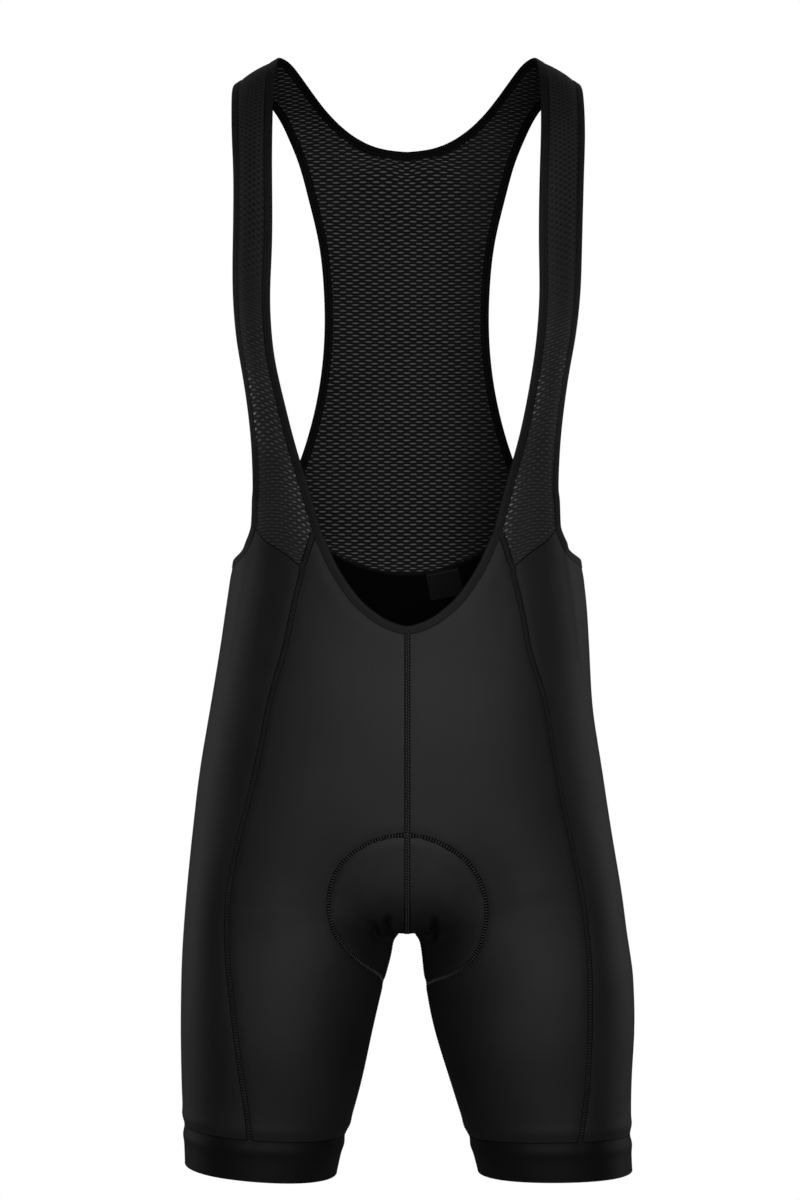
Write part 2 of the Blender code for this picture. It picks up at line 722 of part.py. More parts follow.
def make_label(finish):
    """Woven label that hangs inside from the waist seam, made from the seat panel's points, moved in."""
    side = SIDES["left"]
    sheets = [[], []]
    for row in range(LABEL_ROWS + 1):
        for column in range(LABEL_COLUMNS + 1):
            across = (column / LABEL_COLUMNS - 0.5) * LABEL_WIDTH
            down = (row / LABEL_ROWS - 0.5) * LABEL_HEIGHT
            x = LABEL_MIDDLE.x + across * math.cos(LABEL_TILT) + down * math.sin(LABEL_TILT)
            z = LABEL_MIDDLE.z + across * math.sin(LABEL_TILT) - down * math.cos(LABEL_TILT)
            u = turn_at(side, x, z, behind=True)
            point = body_point(side, u, z)
            along = body_point(side, u - SMALL_TURN, z) - body_point(side, u + SMALL_TURN, z)
            up = body_point(side, u, z + 1.0) - body_point(side, u, z - 1.0)
            normal = up.cross(along).normalized()
            depth = KNIT_WALL + SEAM_GAP + LABEL_LEAN * (row / LABEL_ROWS) ** 2
            sheets[0].append(point - normal * depth)
            sheets[1].append(point - normal * (depth + LABEL_WALL))
    width = LABEL_COLUMNS + 1
    count = len(sheets[0])
    faces = []
    for row in range(LABEL_ROWS):
        for column in range(LABEL_COLUMNS):
            corner = row * width + column
            quad = [corner, corner + 1, corner + width + 1, corner + width]
            faces.append(quad)
            faces.append([number + count for number in quad[::-1]])
    rim = list(range(width)) + [row * width + LABEL_COLUMNS for row in range(1, LABEL_ROWS + 1)]
    rim += [LABEL_ROWS * width + column for column in range(LABEL_COLUMNS - 1, -1, -1)]
    rim += [row * width for row in range(LABEL_ROWS - 1, 0, -1)]
    for start, end in zip(rim, rim[1:] + rim[:1]):
        faces.append([end, start, start + count, end + count])
    return make_object("label", sheets[0] + sheets[1], faces, finish)


def main():
    for old in list(bpy.data.objects):
        bpy.data.objects.remove(old)

    net = Net()
    for name, side in SIDES.items():
        add_shorts(net, name, side)
        add_strap(net, name, side)
        add_back(net, side)
    settle(net)
    normals = net.normals()

    knit = material("knit", KNIT)
    mesh_knit = material("mesh_knit", MESH)
    gripper = material("gripper", GRIPPER)
    binding = material("binding", BINDING)
    for name in SIDES:
        for part in ("front_panel_", "side_panel_", "seat_panel_"):
            make_panel(net, normals, part + name, KNIT_WALL, knit)
        make_panel(net, normals, "gripper_" + name, GRIPPER_WALL, gripper)
        make_panel(net, normals, "strap_" + name, MESH_WALL, mesh_knit)
    make_panel(net, normals, "back_mesh", MESH_WALL, mesh_knit)

    loops, moves = free_loops(net)
    for loop in loops:
        heights = [net.points[corner].z for corner in loop]
        sides = [net.points[corner].x for corner in loop]
        if max(heights) < CUFF_LEVEL:
            continue
        if min(sides) < 0.0 < max(sides):
            name = "binding_neck"
        else:
            name = "binding_armhole_" + ("left" if min(sides) > 0.0 else "right")
        make_binding(net, normals, name, loop, moves, binding)
    make_label(material("satin", SATIN))


main()
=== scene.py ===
"""Looks of the cycling bib shorts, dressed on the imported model.

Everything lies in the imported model's own frame: metres, +Z up, the front faces -Y, the wearer's left is at
+X, and the origin lies between the undersides of the two shoulder-strap crests. The tables are in
millimetres, and in them x is a distance from the middle of the garment.

The cloth is one fine surface over the same net of points as the solids. It is creased, split into its cut
pieces, given a thin wall and sewn: ribbons and threads follow the borders between the pieces, and folded
bindings follow the free edges.
"""

import logging
import math
import sys
from collections.abc import Callable, Iterable, Sequence
from dataclasses import dataclass, field, fields
from enum import Enum
from functools import partialmethod
from typing import NamedTuple

import bpy
import numpy as np
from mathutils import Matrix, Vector
from mathutils.bvhtree import BVHTree
from mathutils.kdtree import KDTree


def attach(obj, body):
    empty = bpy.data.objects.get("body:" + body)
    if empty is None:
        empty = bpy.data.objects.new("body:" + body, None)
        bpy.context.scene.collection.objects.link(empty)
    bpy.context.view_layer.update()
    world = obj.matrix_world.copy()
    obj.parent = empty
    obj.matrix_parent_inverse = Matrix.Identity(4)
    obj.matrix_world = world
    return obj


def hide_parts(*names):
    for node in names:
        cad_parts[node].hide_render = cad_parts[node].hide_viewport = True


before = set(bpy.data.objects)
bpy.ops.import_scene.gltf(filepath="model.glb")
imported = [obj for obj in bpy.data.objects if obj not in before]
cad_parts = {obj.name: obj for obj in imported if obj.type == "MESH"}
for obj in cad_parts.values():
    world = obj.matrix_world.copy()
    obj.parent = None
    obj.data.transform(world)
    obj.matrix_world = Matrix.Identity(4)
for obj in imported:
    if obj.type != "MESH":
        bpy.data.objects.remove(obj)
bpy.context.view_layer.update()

log = logging.getLogger("bib_shorts")

MM = 0.001
BODY = "root"
SAME_POINT = 0.02
SHARP = math.radians(50.0)
PATTERN = "pattern"
UP = "up"
# Point attribute of painted light: the grey of the light or shade seen through the eyelets
EYELET_PAINTED_LIGHT = "eyelet_light"
PANELS = ("front_panel_", "side_panel_", "seat_panel_")


class Side(Enum):
    """One half of the garment, as the sign of its x."""

    LEFT = 1
    RIGHT = -1

    @property
    def tag(self) -> str:
        """Ending of the half's piece names."""
        return self.name.lower()

    def of(self, left: float, right: float) -> float:
        """The half's own value of two."""
        return left if self is Side.LEFT else right


TAGS = tuple(side.tag for side in Side)

# ---------------------------------------- form


class Edge(NamedTuple):
    """Place on the cloth, seen from the front or the back."""

    x: float
    z: float


class Turn(NamedTuple):
    """Place on the shorts: turn round one half (0 centre front, 0.5 side, 1 centre back) and height."""

    u: float
    z: float


class Level(NamedTuple):
    """Section of the shorts: sides and inner gap on the wearer's right and left, depths and fullness."""

    z: float
    outer_right: float
    outer_left: float
    inner_right: float
    inner_left: float
    front: float
    back: float
    fullness: float


class Seam(NamedTuple):
    """Distance of a seam from the middle at one height, on the wearer's right and left."""

    z: float
    right: float
    left: float


class Cuff(NamedTuple):
    """Heights of a gripper seam or hem at a leg's outer and inner side, and its rise at the front."""

    outer: float
    inner: float
    front_rise: float


class Ribbon(NamedTuple):
    """Both edges of a strap or of the back mesh at one row."""

    inner_x: float
    inner_y: float
    inner_z: float
    outer_x: float
    outer_y: float
    outer_z: float


class Lean(NamedTuple):
    """How far each edge of each strap hangs out from the even strap."""

    z: float
    inner_right: float
    outer_right: float
    inner_left: float
    outer_left: float


def table(kind: type, *rows: tuple) -> tuple:
    """Rows of one kind."""
    return tuple(kind(*row) for row in rows)


LEVELS = table(
    Level,
    (-340, 148.0, 148.0, 10.8, 9.8, 108, 87, 0.14), (-375, 147.0, 146.0, 10.8, 9.8, 105, 85, 0.14),
    (-409, 146.4, 146.4, 10.8, 9.8, 101, 84, 0.13), (-447, 151.5, 150.4, 10.8, 9.8, 100, 85, 0.12),
    (-485, 157.1, 152.9, 10.8, 9.8, 101, 90, 0.12), (-535, 165.5, 156.2, 10.8, 9.8, 104, 101, 0.12),
    (-586, 173.9, 163.8, 10.8, 9.8, 105, 113, 0.12), (-636, 179.8, 171.4, 10.8, 9.8, 104, 119, 0.12),
    (-687, 184.8, 179.8, 10.8, 9.8, 101, 116, 0.12), (-723, 187.6, 184.6, 10.8, 9.8, 99, 108, 0.12),
    (-741, 188.6, 187.4, 13.4, 12.6, 97.6, 103, 0.12), (-758, 189.2, 189.5, 18.6, 15.0, 96, 98, 0.12),
    (-800, 189.8, 190.7, 28.6, 22.7, 91, 87, 0.12), (-850, 189.0, 188.2, 39.5, 37.8, 84, 76, 0.12),
    (-901, 186.8, 188.2, 53.8, 53.8, 77, 67, 0.12), (-926, 186.0, 189.2, 59.5, 60.5, 75, 64, 0.12),
)
PRINCESS_SEAM = table(
    Seam,
    (-415, 85.2, 85.6), (-480, 99.0, 98.0), (-523, 111.0, 111.5), (-566, 119.6, 119.0),
    (-604, 128.5, 126.0), (-651, 140.3, 136.0), (-688, 146.0, 143.0), (-725, 146.5, 147.0),
    (-758, 143.5, 149.0), (-801, 138.0, 148.5), (-851, 129.0, 143.0), (-895, 124.5, 133.0),
)
GRIPPER_SEAM = {Side.LEFT: Cuff(-891.0, -893.0, 7.0), Side.RIGHT: Cuff(-882.0, -891.0, 3.0)}
HEM = {Side.LEFT: Cuff(-921.0, -922.5, 4.5), Side.RIGHT: Cuff(-914.5, -924.0, 2.5)}

NECKLINE = table(
    Edge,
    (-19.3, -465.0), (0.0, -470.4), (19.3, -465.0), (35.5, -454.0),
    (49.2, -439.8), (63.5, -417.5), (71.0, -401.0), (76.1, -389.6),
)
V_INNER = table(Edge, (76.1, -389.6), (80.4, -403.0), (85.2, -415.4))
V_OUTER = table(Edge, (85.2, -415.4), (95.0, -408.5), (108.5, -399.5), (117.5, -393.0), (124.2, -384.6))
SIDE_BACK_SEAM = 0.683
ARMHOLE_SIDE = table(
    Turn, (0.45, -414.8), (0.52, -416.4), (0.59, -414.6), (0.645, -409.6), (SIDE_BACK_SEAM, -402.5)
)
ARMHOLE_FRONT = table(Edge, (130.2, -398.5), (136.8, -408.5))
ARMHOLE_BACK = Turn(0.722, -389.5)
WAIST_SEAM_MIDDLE_Z = -421.3
WAIST_SEAM_END = Edge(106.0, -373.0)

STRAP = table(
    Ribbon,
    (89.5, -94.5, -341.0, 121.3, -74.0, -349.0), (99.8, -97.5, -306.0, 123.0, -79.5, -308.0),
    (107.3, -100.5, -270.0, 128.2, -85.0, -268.0), (112.5, -104.0, -238.0, 133.8, -88.5, -235.0),
    (115.6, -105.5, -195.0, 136.9, -90.5, -192.0), (115.0, -102.5, -150.0, 137.3, -88.0, -148.0),
    (114.6, -94.5, -105.0, 137.8, -81.0, -105.0), (114.9, -82.0, -68.0, 138.5, -71.0, -70.0),
    (115.7, -61.0, -35.5, 139.6, -53.0, -41.5), (116.5, -35.0, -9.0, 140.6, -31.0, -20.0),
    (115.4, -11.0, 5.8, 140.0, -11.0, -8.5), (112.2, 6.0, 10.0, 138.0, 5.0, -6.2),
)
STRAP_LEAN = table(
    Lean,
    (10.0, 0.0, 0.0, 0.0, 0.0), (-54.0, 1.6, 0.0, 0.8, 1.6), (-103.0, 1.6, -0.6, -0.8, 1.0),
    (-151.0, 0.4, 0.0, -2.4, 0.0), (-200.0, 1.6, 0.8, -2.6, -0.8), (-249.0, 2.4, 0.8, -2.4, -2.2),
    (-297.0, 0.8, 0.8, -1.6, -1.6), (-346.0, 1.0, 0.2, -0.4, -2.4),
)
SHOULDER = table(
    Ribbon,
    (112.2, 6.0, 10.0, 138.0, 5.0, -6.2), (104.4, 21.0, 7.8, 131.5, 22.0, -6.0),
    (94.5, 40.0, -1.8, 121.5, 40.0, -9.0), (83.6, 60.0, -13.5, 112.0, 56.0, -15.0),
    (71.6, 76.0, -26.3, 104.0, 69.0, -24.5), (57.0, 86.0, -39.5, 97.2, 78.5, -38.0),
    (38.5, 92.0, -50.6, 91.0, 86.0, -52.0), (19.5, 95.0, -56.6, 84.8, 91.0, -70.0),
    (0.0, 96.0, -58.5, 79.0, 95.0, -92.0),
)
SPINE = table(
    Ribbon,
    (0.0, 96.0, -58.5, 79.0, 95.0, -92.0), (0.0, 103.5, -90.0, 72.8, 97.5, -118.0),
    (0.0, 107.5, -124.0, 68.2, 98.5, -146.0), (0.0, 109.0, -160.0, 65.9, 99.0, -178.0),
    (0.0, 108.5, -200.0, 65.6, 97.5, -212.0), (0.0, 105.5, -243.0, 68.6, 94.0, -249.0),
    (0.0, 101.0, -287.0, 75.4, 89.5, -286.0), (0.0, 94.5, -332.0, 85.3, 83.0, -321.0),
    (0.0, 88.0, -378.0, 95.8, 75.5, -347.5), (0.0, 84.6, -421.3, 106.0, 67.0, -373.0),
)


def mix(low: float, high: float, share: float) -> float:
    """Value that lies share of the way from low to high."""
    return low + (high - low) * share


def ease(share: float) -> float:
    """Smooth step from 0 to 1, level at both ends."""
    share = min(max(share, 0.0), 1.0)
    return share * share * (3.0 - 2.0 * share)


def ease_all(shares: np.ndarray) -> np.ndarray:
    """The smooth step of each share."""
    shares = np.clip(shares, 0.0, 1.0)
    return shares * shares * (3.0 - 2.0 * shares)


def between(start: float, end: float, leave: float, arrive: float, share: float) -> float:
    """Cubic curve from start to end with the given slopes."""
    square = (3.0 * (end - start) - 2.0 * leave - arrive) * share**2
    return start + leave * share + square + (2.0 * (start - end) + leave + arrive) * share**3


def resample(rows: Sequence[NamedTuple], count: int, first: int = 0) -> list[NamedTuple]:
    """Rows at even steps along the smooth curve through a table.

    Args:
        rows: The table.
        count: Number of steps.
        first: Row that the steps start from. Rows before it only shape the curve.

    Returns:
        count + 1 rows.
    """
    found = []
    for step in range(count + 1):
        place = first + step * (len(rows) - 1 - first) / count
        index = min(int(place), len(rows) - 2)
        four = rows[max(index - 1, 0)], *rows[index : index + 2], rows[min(index + 2, len(rows) - 1)]
        values = [between(s, e, (e - b) / 2.0, (a - s) / 2.0, place - index) for b, s, e, a in zip(*four)]
        found.append(type(rows[0])(*values))
    return found


def level_at(rows: Sequence[NamedTuple], z: float) -> NamedTuple:
    """The row of a table at a height, smoothly between its rows.

    Args:
        rows: Rows whose first value is a height, running downwards.
        z: The height.

    Returns:
        A row of the table's kind.
    """
    z = min(max(z, rows[-1].z), rows[0].z)
    index = max(i for i in range(len(rows) - 1) if rows[i].z >= z)
    upper, lower = rows[index], rows[index + 1]
    drop = upper.z - lower.z
    values = []
    for column in range(1, len(upper)):
        slopes = []
        for near in (index, index + 1):
            above, below = rows[max(near - 1, 0)], rows[min(near + 1, len(rows) - 1)]
            slopes.append((below[column] - above[column]) / (above.z - below.z) * drop)
        values.append(between(upper[column], lower[column], *slopes, (upper.z - z) / drop))
    return type(upper)(z, *values)


class Curve(NamedTuple):
    """Powers of the curve from the torso to the crotch: 2 in a quarter ellipse, and more is squarer."""

    under: float
    wall: float


@dataclass(frozen=True)
class ShortsForm:
    """Outer face of the shorts: a torso that closes into two legs."""

    hip_z: float = -600.0
    crotch_z: float = -722.0
    front_curve: Curve = Curve(2.5, 7.0)
    back_curve: Curve = Curve(2.4, 2.4)
    thigh_z: float = -830.0
    crotch_strip: float = 0.11
    pad_strip: float = 0.15
    arch_drop: float = 10.0
    crotch_fullness: float = 0.42
    leg_fullness: float = 0.10
    fullness_top_z: float = -610.0
    fullness_end_z: float = -850.0
    turn_steps: int = 40

    def point(self, side: Side, u: float, z: float) -> Vector:
        """Point of the outer face.

        Args:
            side: The half.
            u: Turn round the half.
            z: Height.

        Returns:
            The point.
        """
        level = level_at(LEVELS, z)
        outer = side.of(level.outer_left, level.outer_right)
        gap = side.of(level.inner_left, level.inner_right)
        depth, curve = (level.front, self.front_curve) if u < 0.5 else (level.back, self.back_curve)
        sine, cosine = math.sin(math.pi * u), math.cos(math.pi * u)
        torso_x = outer * sine * (1.0 + level.fullness * cosine**2)
        torso_y = depth * abs(cosine) * (1.0 + level.fullness * sine**2)

        turn = 2.0 * math.pi * u
        settled = ease((self.fullness_top_z - z) / (self.fullness_top_z - self.fullness_end_z))
        leg_full = mix(self.crotch_fullness, self.leg_fullness, settled)
        leg_y = depth * abs(math.sin(turn)) * (1.0 + leg_full * math.cos(turn) ** 2)

        fall = min(max((self.hip_z - z) / (self.hip_z - self.crotch_z), 0.0), 1.0)
        at_seam = 1.0 - (1.0 - fall**curve.wall) ** (1.0 / curve.under)
        off_centre = min(u, 1.0 - u)
        from_seam = ease(off_centre / self.crotch_strip)
        near_pad = 1.0 - ease(off_centre / self.pad_strip)
        at_thigh = ease((self.hip_z - z) / (self.hip_z - self.thigh_z)) * mix(1.0, at_seam, near_pad)
        share = mix(at_seam, at_thigh, from_seam)
        y = mix(torso_y, leg_y, share)

        under = (1.0 - min(y / depth, 1.0) ** curve.under) ** (1.0 / curve.wall)
        seam_z = mix(self.hip_z, self.crotch_z, under)
        below_seam = min(max((seam_z - z) / self.arch_drop, 0.0), 1.0)
        arch = gap * math.sqrt(1.0 - (1.0 - below_seam) ** 2)
        wall = mix(sine * sine, mix(sine, sine * sine, at_thigh), from_seam)
        leg_x = mix(arch, gap, from_seam) + (outer - gap) * wall
        return Vector((side.value * mix(torso_x, leg_x, share), y if u > 0.5 else -y, z))

    def turn_at(self, side: Side, x: float, z: float, behind: bool = False) -> float:
        """Turn at which the shorts lie x from the middle at height z, on the front or behind.

        Args:
            side: The half.
            x: Distance from the middle.
            z: Height.
            behind: Whether the place lies behind.

        Returns:
            The turn round the half.
        """
        low, high = (1.0, 0.5) if behind else (0.0, 0.5)
        for _ in range(self.turn_steps):
            middle = (low + high) / 2.0
            if abs(self.point(side, middle, z).x) < x:
                low = middle
            else:
                high = middle
        return (low + high) / 2.0

    def princess_turn(self, side: Side, z: float) -> float:
        """Turn of the princess seam at height z."""
        seam = level_at(PRINCESS_SEAM, z)
        return self.turn_at(side, side.of(seam.left, seam.right), z)

    def heights(self, waist_z: float, waist_rows: int, hip_rows: int, arch_rows: int) -> list[float]:
        """Heights of the level rows, close together where the crotch turns.

        Args:
            waist_z: Height of the first row.
            waist_rows: Rows from there to the hip.
            hip_rows: Rows from the hip to the arch.
            arch_rows: Rows through the arch.

        Returns:
            The heights, running down.
        """
        quarter = math.pi / 2.0
        found = [mix(waist_z, self.hip_z, row / waist_rows) for row in range(waist_rows + 1)]
        for row in range(1, hip_rows + 1):
            found.append(mix(self.hip_z, self.crotch_z, math.sin(quarter * row / hip_rows)))
        for row in range(1, arch_rows + 1):
            found.append(self.crotch_z - self.arch_drop * (1.0 - math.cos(quarter * row / arch_rows)))
        return found


# ---------------------------------------- net

Grid = list[list[Vector]]
Grain = list[list[tuple[float, float]]]


@dataclass
class NetFace:
    """One quad of the net: the piece it belongs to, its corners and their places in the knit."""

    piece: str
    corners: list[int]
    grain: list[tuple[float, float]]


@dataclass
class Net:
    """The garment's coarse outer face: points shared between pieces, and faces of one piece each."""

    points: list[Vector] = field(default_factory=list)
    keys: dict[tuple[int, ...], int] = field(default_factory=dict)
    faces: list[NetFace] = field(default_factory=list)
    fixed: set[int] = field(default_factory=set)

    def index(self, point: Vector) -> int:
        """Number of the point, which is shared with any point at the same place.

        Args:
            point: Place of the point.

        Returns:
            Its number.
        """
        key = tuple(round(value / SAME_POINT) for value in point)
        if key not in self.keys:
            self.keys[key] = len(self.points)
            self.points.append(Vector(point))
        return self.keys[key]

    def add(self, piece: str, rows: Grid, side: int, grain: Grain) -> None:
        """Adds a grid of points.

        Args:
            piece: The cut piece that the faces belong to.
            rows: Rows that run downwards, with columns away from the middle.
            side: 1 where the faces keep their order, -1 where they turn round.
            grain: Place of each point in the knit.
        """
        for row in range(len(rows) - 1):
            for column in range(len(rows[row]) - 1):
                places = ((row, column), (row + 1, column), (row + 1, column + 1), (row, column + 1))
                corners = {self.index(rows[r][c]): grain[r][c] for r, c in places}
                if len(corners) > 2:
                    face = dict(list(corners.items())[::side])
                    self.faces.append(NetFace(piece, list(face), list(face.values())))

    def settle(self, reach: Edge, middle_z: float, share: float, steps: int) -> None:
        """Eases the cloth beside the crotch into a soft saddle, and leaves the fixed points.

        Args:
            reach: How far sideways and up the easing goes.
            middle_z: Height of its middle.
            share: Largest move of one step, as a share of the way to the neighbours' mean.
            steps: Number of steps.
        """
        neighbours: dict[int, set[int]] = {}
        for face in self.faces:
            for start, end in zip(face.corners, face.corners[1:] + face.corners[:1]):
                neighbours.setdefault(start, set()).add(end)
                neighbours.setdefault(end, set()).add(start)
        shares = {}
        for number, point in enumerate(self.points):
            away = math.hypot(point.x / reach.x, (point.z - middle_z) / reach.z)
            if away < 1.0 and number not in self.fixed:
                shares[number] = share * ease(1.0 - away)
        for _ in range(steps):
            moved = {}
            for number, weight in shares.items():
                near = [self.points[other] for other in sorted(neighbours[number])]
                moved[number] = self.points[number].lerp(sum(near, Vector()) / len(near), weight)
            for number, point in moved.items():
                self.points[number] = point


@dataclass
class Pattern:
    """The cut of the garment, laid as one net over its form."""

    form: ShortsForm = field(default_factory=ShortsForm)
    waist_z: float = -486.0
    even_top_z: float = -446.0
    cuff_level: float = -870.0
    neckline_columns: int = 9
    v_inner_columns: int = 2
    v_outer_columns: int = 4
    back_columns: int = 6
    rim_rows: int = 4
    waist_rows: int = 5
    hip_rows: int = 7
    arch_rows: int = 3
    leg_rows: int = 8
    leg_row_start: float = 0.45
    gripper_rows: int = 2
    strap_base_rows: int = 3
    strap_base_settling: float = 1.5
    strap_rows: int = 14
    shoulder_rows: int = 8
    spine_rows: int = 10
    strap_crown: float = 1.6
    crown_rows: int = 3
    left_armhole_lean: float = 2.4
    seam_reach: float = 0.18
    settle_reach: Edge = Edge(58.0, 40.0)
    settle_share: float = 0.9
    settle_steps: int = 10
    # Eyelets of the mesh: width of a pair of columns and height of a row, on the straps and the back
    strap_eyelet: Edge = Edge(7.3, 2.65)
    back_eyelet: Edge = Edge(11.3, 2.7)
    shoulder_y: float = 90.0
    shoulder_z: float = -150.0
    shoulder_grain: float = 0.6
    strap_grain_tilt: float = 0.42

    def build(self) -> Net:
        """Lays both halves and eases the crotch.

        Returns:
            The whole net.
        """
        net = Net()
        for side in Side:
            self.lay_shorts(net, side)
            self.lay_strap(net, side)
            self.lay_back(net, side)
        net.settle(self.settle_reach, self.form.crotch_z, self.settle_share, self.settle_steps)
        return net

    def hung(self, side: Side, edge: Edge) -> Edge:
        """The edge's place on one half: towards the armhole, the left one lies further in."""
        towards = ease((edge.x - V_OUTER[0].x) / (V_OUTER[-1].x - V_OUTER[0].x))
        return Edge(edge.x - side.of(self.left_armhole_lean, 0.0) * towards, edge.z)

    def rim_turns(self, side: Side, edges: Iterable[Edge]) -> list[Turn]:
        """Turn and height of each place along the front rim."""
        return [Turn(self.form.turn_at(side, self.hung(side, edge).x, edge.z), edge.z) for edge in edges]

    def waist_seam(self, side: Side, column: int) -> Turn:
        """Place of a column on the waist seam, from the middle of the back to the armhole.

        Args:
            side: The half.
            column: Number of the column.

        Returns:
            Its turn and height.
        """
        share = column / self.back_columns
        x, z = WAIST_SEAM_END.x * share, mix(WAIST_SEAM_MIDDLE_Z, WAIST_SEAM_END.z, share**2)
        return Turn(self.form.turn_at(side, x, z, behind=True) if column else 1.0, z)

    def top_edge(self, side: Side) -> tuple[list[Turn], ...]:
        """Turn and height of each column along the top of the front, side and seat panels.

        Args:
            side: The half.

        Returns:
            The places of each panel, in order round the half.
        """
        front = self.rim_turns(side, resample(NECKLINE, self.neckline_columns, first=1))
        front += self.rim_turns(side, resample(V_INNER, self.v_inner_columns)[1:])
        outer = resample(V_OUTER, self.v_outer_columns)[1:] + list(ARMHOLE_FRONT)
        middle = [front[-1], *self.rim_turns(side, outer), *ARMHOLE_SIDE]
        seam = [self.waist_seam(side, column) for column in range(self.back_columns, -1, -1)]
        return front, middle, [middle[-1], ARMHOLE_BACK, *seam]

    def cuff_height(self, cuff: Cuff, u: float) -> float:
        """Height of a gripper seam or hem at a turn round the leg."""
        turn = 2.0 * math.pi * u
        return mix(cuff.inner, cuff.outer, (1.0 - math.cos(turn)) / 2.0) + cuff.front_rise * math.sin(turn)

    def level_grain(self, rows: Grid) -> Grain:
        """Knit of a panel: wales run down it, in millimetres round the body and up.

        Args:
            rows: The panel's points.

        Returns:
            Place of each point in the knit.
        """
        grain = []
        for row in rows:
            steps = [0.0] + [(point - before).length for before, point in zip(row, row[1:])]
            grain.append([(across, point.z) for across, point in zip(np.cumsum(steps), row)])
        return grain

    def lay_shorts(self, net: Net, side: Side) -> None:
        """Lays the front, side and seat panels and the gripper of one half.

        Args:
            net: Net that takes the faces.
            side: The half.
        """
        form, seam, hem = self.form, GRIPPER_SEAM[side], HEM[side]
        heights = form.heights(self.waist_z, self.waist_rows, self.hip_rows, self.arch_rows)
        low_z, lower_rows = heights[-1], len(heights) - 1 - self.waist_rows
        even_heights = heights[: self.waist_rows + 1]
        even_heights += [mix(form.hip_z, low_z, row / lower_rows) for row in range(1, lower_rows + 1)]
        limits: tuple[Callable[[float], float], ...] = (
            lambda z: 0.0, lambda z: form.princess_turn(side, z), lambda z: SIDE_BACK_SEAM, lambda z: 1.0
        )
        gripper_rows: Grid = [[] for _ in range(self.gripper_rows + 1)]
        for piece, start, end, top in zip(PANELS, limits, limits[1:], self.top_edge(side)):
            columns = len(top) - 1
            spread = [(turn.u - top[0].u) / (top[-1].u - top[0].u) for turn in top]

            def turns(z: float) -> list[float]:
                """Turn of each column at height z, even towards the hem.

                Args:
                    z: The height.

                Returns:
                    One turn for each column.
                """
                evenness = ease((self.even_top_z - z) / (self.even_top_z - form.hip_z))
                shares = [mix(share, number / columns, evenness) for number, share in enumerate(spread)]
                low, high = start(z), end(z)
                return [mix(low, high, share) for share in shares]

            waist = turns(self.waist_z)
            rows = []
            for share in (row / self.rim_rows for row in range(self.rim_rows)):
                places = [(mix(at.u, u, share), mix(at.z, self.waist_z, share)) for at, u in zip(top, waist)]
                rows.append([form.point(side, *place) for place in places])
            for z, even in zip(heights, even_heights):
                row = []
                for near, far in zip(turns(z), turns(even)):
                    off_seam = ease(min(near, 1.0 - near) / self.seam_reach)
                    row.append(form.point(side, mix(near, far, off_seam), mix(z, even, off_seam)))
                rows.append(row)
            for share in (row / self.leg_rows for row in range(1, self.leg_rows + 1)):
                share *= mix(self.leg_row_start, 1.0, share)
                at = turns(mix(low_z, self.cuff_level, share))
                rows.append([form.point(side, u, mix(low_z, self.cuff_height(seam, u), share)) for u in at])
            net.add(piece + side.tag, rows, side.value, self.level_grain(rows))
            centre = {PANELS[0]: 0, PANELS[2]: -1}
            if piece in centre:
                net.fixed.update(net.index(row[centre[piece]]) for row in rows)
            for number, gripper_row in enumerate(gripper_rows):
                share = number / self.gripper_rows
                at = turns(self.cuff_level)[1 if gripper_row else 0 :]
                heights_at = [mix(self.cuff_height(seam, u), self.cuff_height(hem, u), share) for u in at]
                gripper_row += [form.point(side, u, z) for u, z in zip(at, heights_at)]
        net.add("gripper_" + side.tag, gripper_rows, side.value, self.level_grain(gripper_rows))

    def ribbon_row(
        self, ribbon: Ribbon, columns: int, side: Side, bend: float = 1.0, drop: float = 1.0
    ) -> list[Vector]:
        """Points across a ribbon from its inner to its outer edge.

        Args:
            ribbon: Edges of the ribbon at this row.
            columns: Number of columns.
            side: The half.
            bend: Power of the share across in y.
            drop: Power of the share across in z.

        Returns:
            columns + 1 points.
        """
        points = []
        for share in (column / columns for column in range(columns + 1)):
            x = side.value * mix(ribbon.inner_x, ribbon.outer_x, share)
            y = mix(ribbon.inner_y, ribbon.outer_y, share**bend)
            points.append(Vector((x, y, mix(ribbon.inner_z, ribbon.outer_z, share**drop))))
        return points

    def crowned(self, rows: Grid, side: Side) -> Grid:
        """The strap's rows with their middle raised out of the flat. Edges and the first row stay.

        Args:
            rows: The strap's points.
            side: The half.

        Returns:
            The raised rows.
        """
        found = []
        for number, row in enumerate(rows):
            above, below = rows[max(number - 1, 0)], rows[min(number + 1, len(rows) - 1)]
            columns = len(row) - 1
            height = self.strap_crown * min(number / self.crown_rows, 1.0)
            raised = []
            for column, point in enumerate(row):
                normal = (below[column] - above[column]).cross(row[-1] - row[0]).normalized() * side.value
                raised.append(point + normal * height * 4.0 * column / columns * (1.0 - column / columns))
            found.append(raised)
        return found

    def leaned(self, ribbon: Ribbon, side: Side) -> Ribbon:
        """The ribbon as it hangs on one half of the garment.

        Args:
            ribbon: The ribbon without its lean.
            side: The half.

        Returns:
            The ribbon with its edges moved.
        """
        lean = level_at(STRAP_LEAN, ribbon.inner_z)
        inner = side.of(lean.inner_left, lean.inner_right)
        outer = side.of(lean.outer_left, lean.outer_right)
        return ribbon._replace(inner_x=ribbon.inner_x + inner, outer_x=ribbon.outer_x + outer)

    def strap_place(self, point: Vector) -> tuple[float, float]:
        """Place in a strap's knit, in eyelets: its rows fall towards the middle of the garment.

        Args:
            point: A point of the strap.

        Returns:
            The place across and up.
        """
        over = max(point.y + self.shoulder_y, 0.0) * self.shoulder_grain
        height = point.z - self.strap_grain_tilt * abs(point.x) + over
        return point.x / self.strap_eyelet.x, height / self.strap_eyelet.z

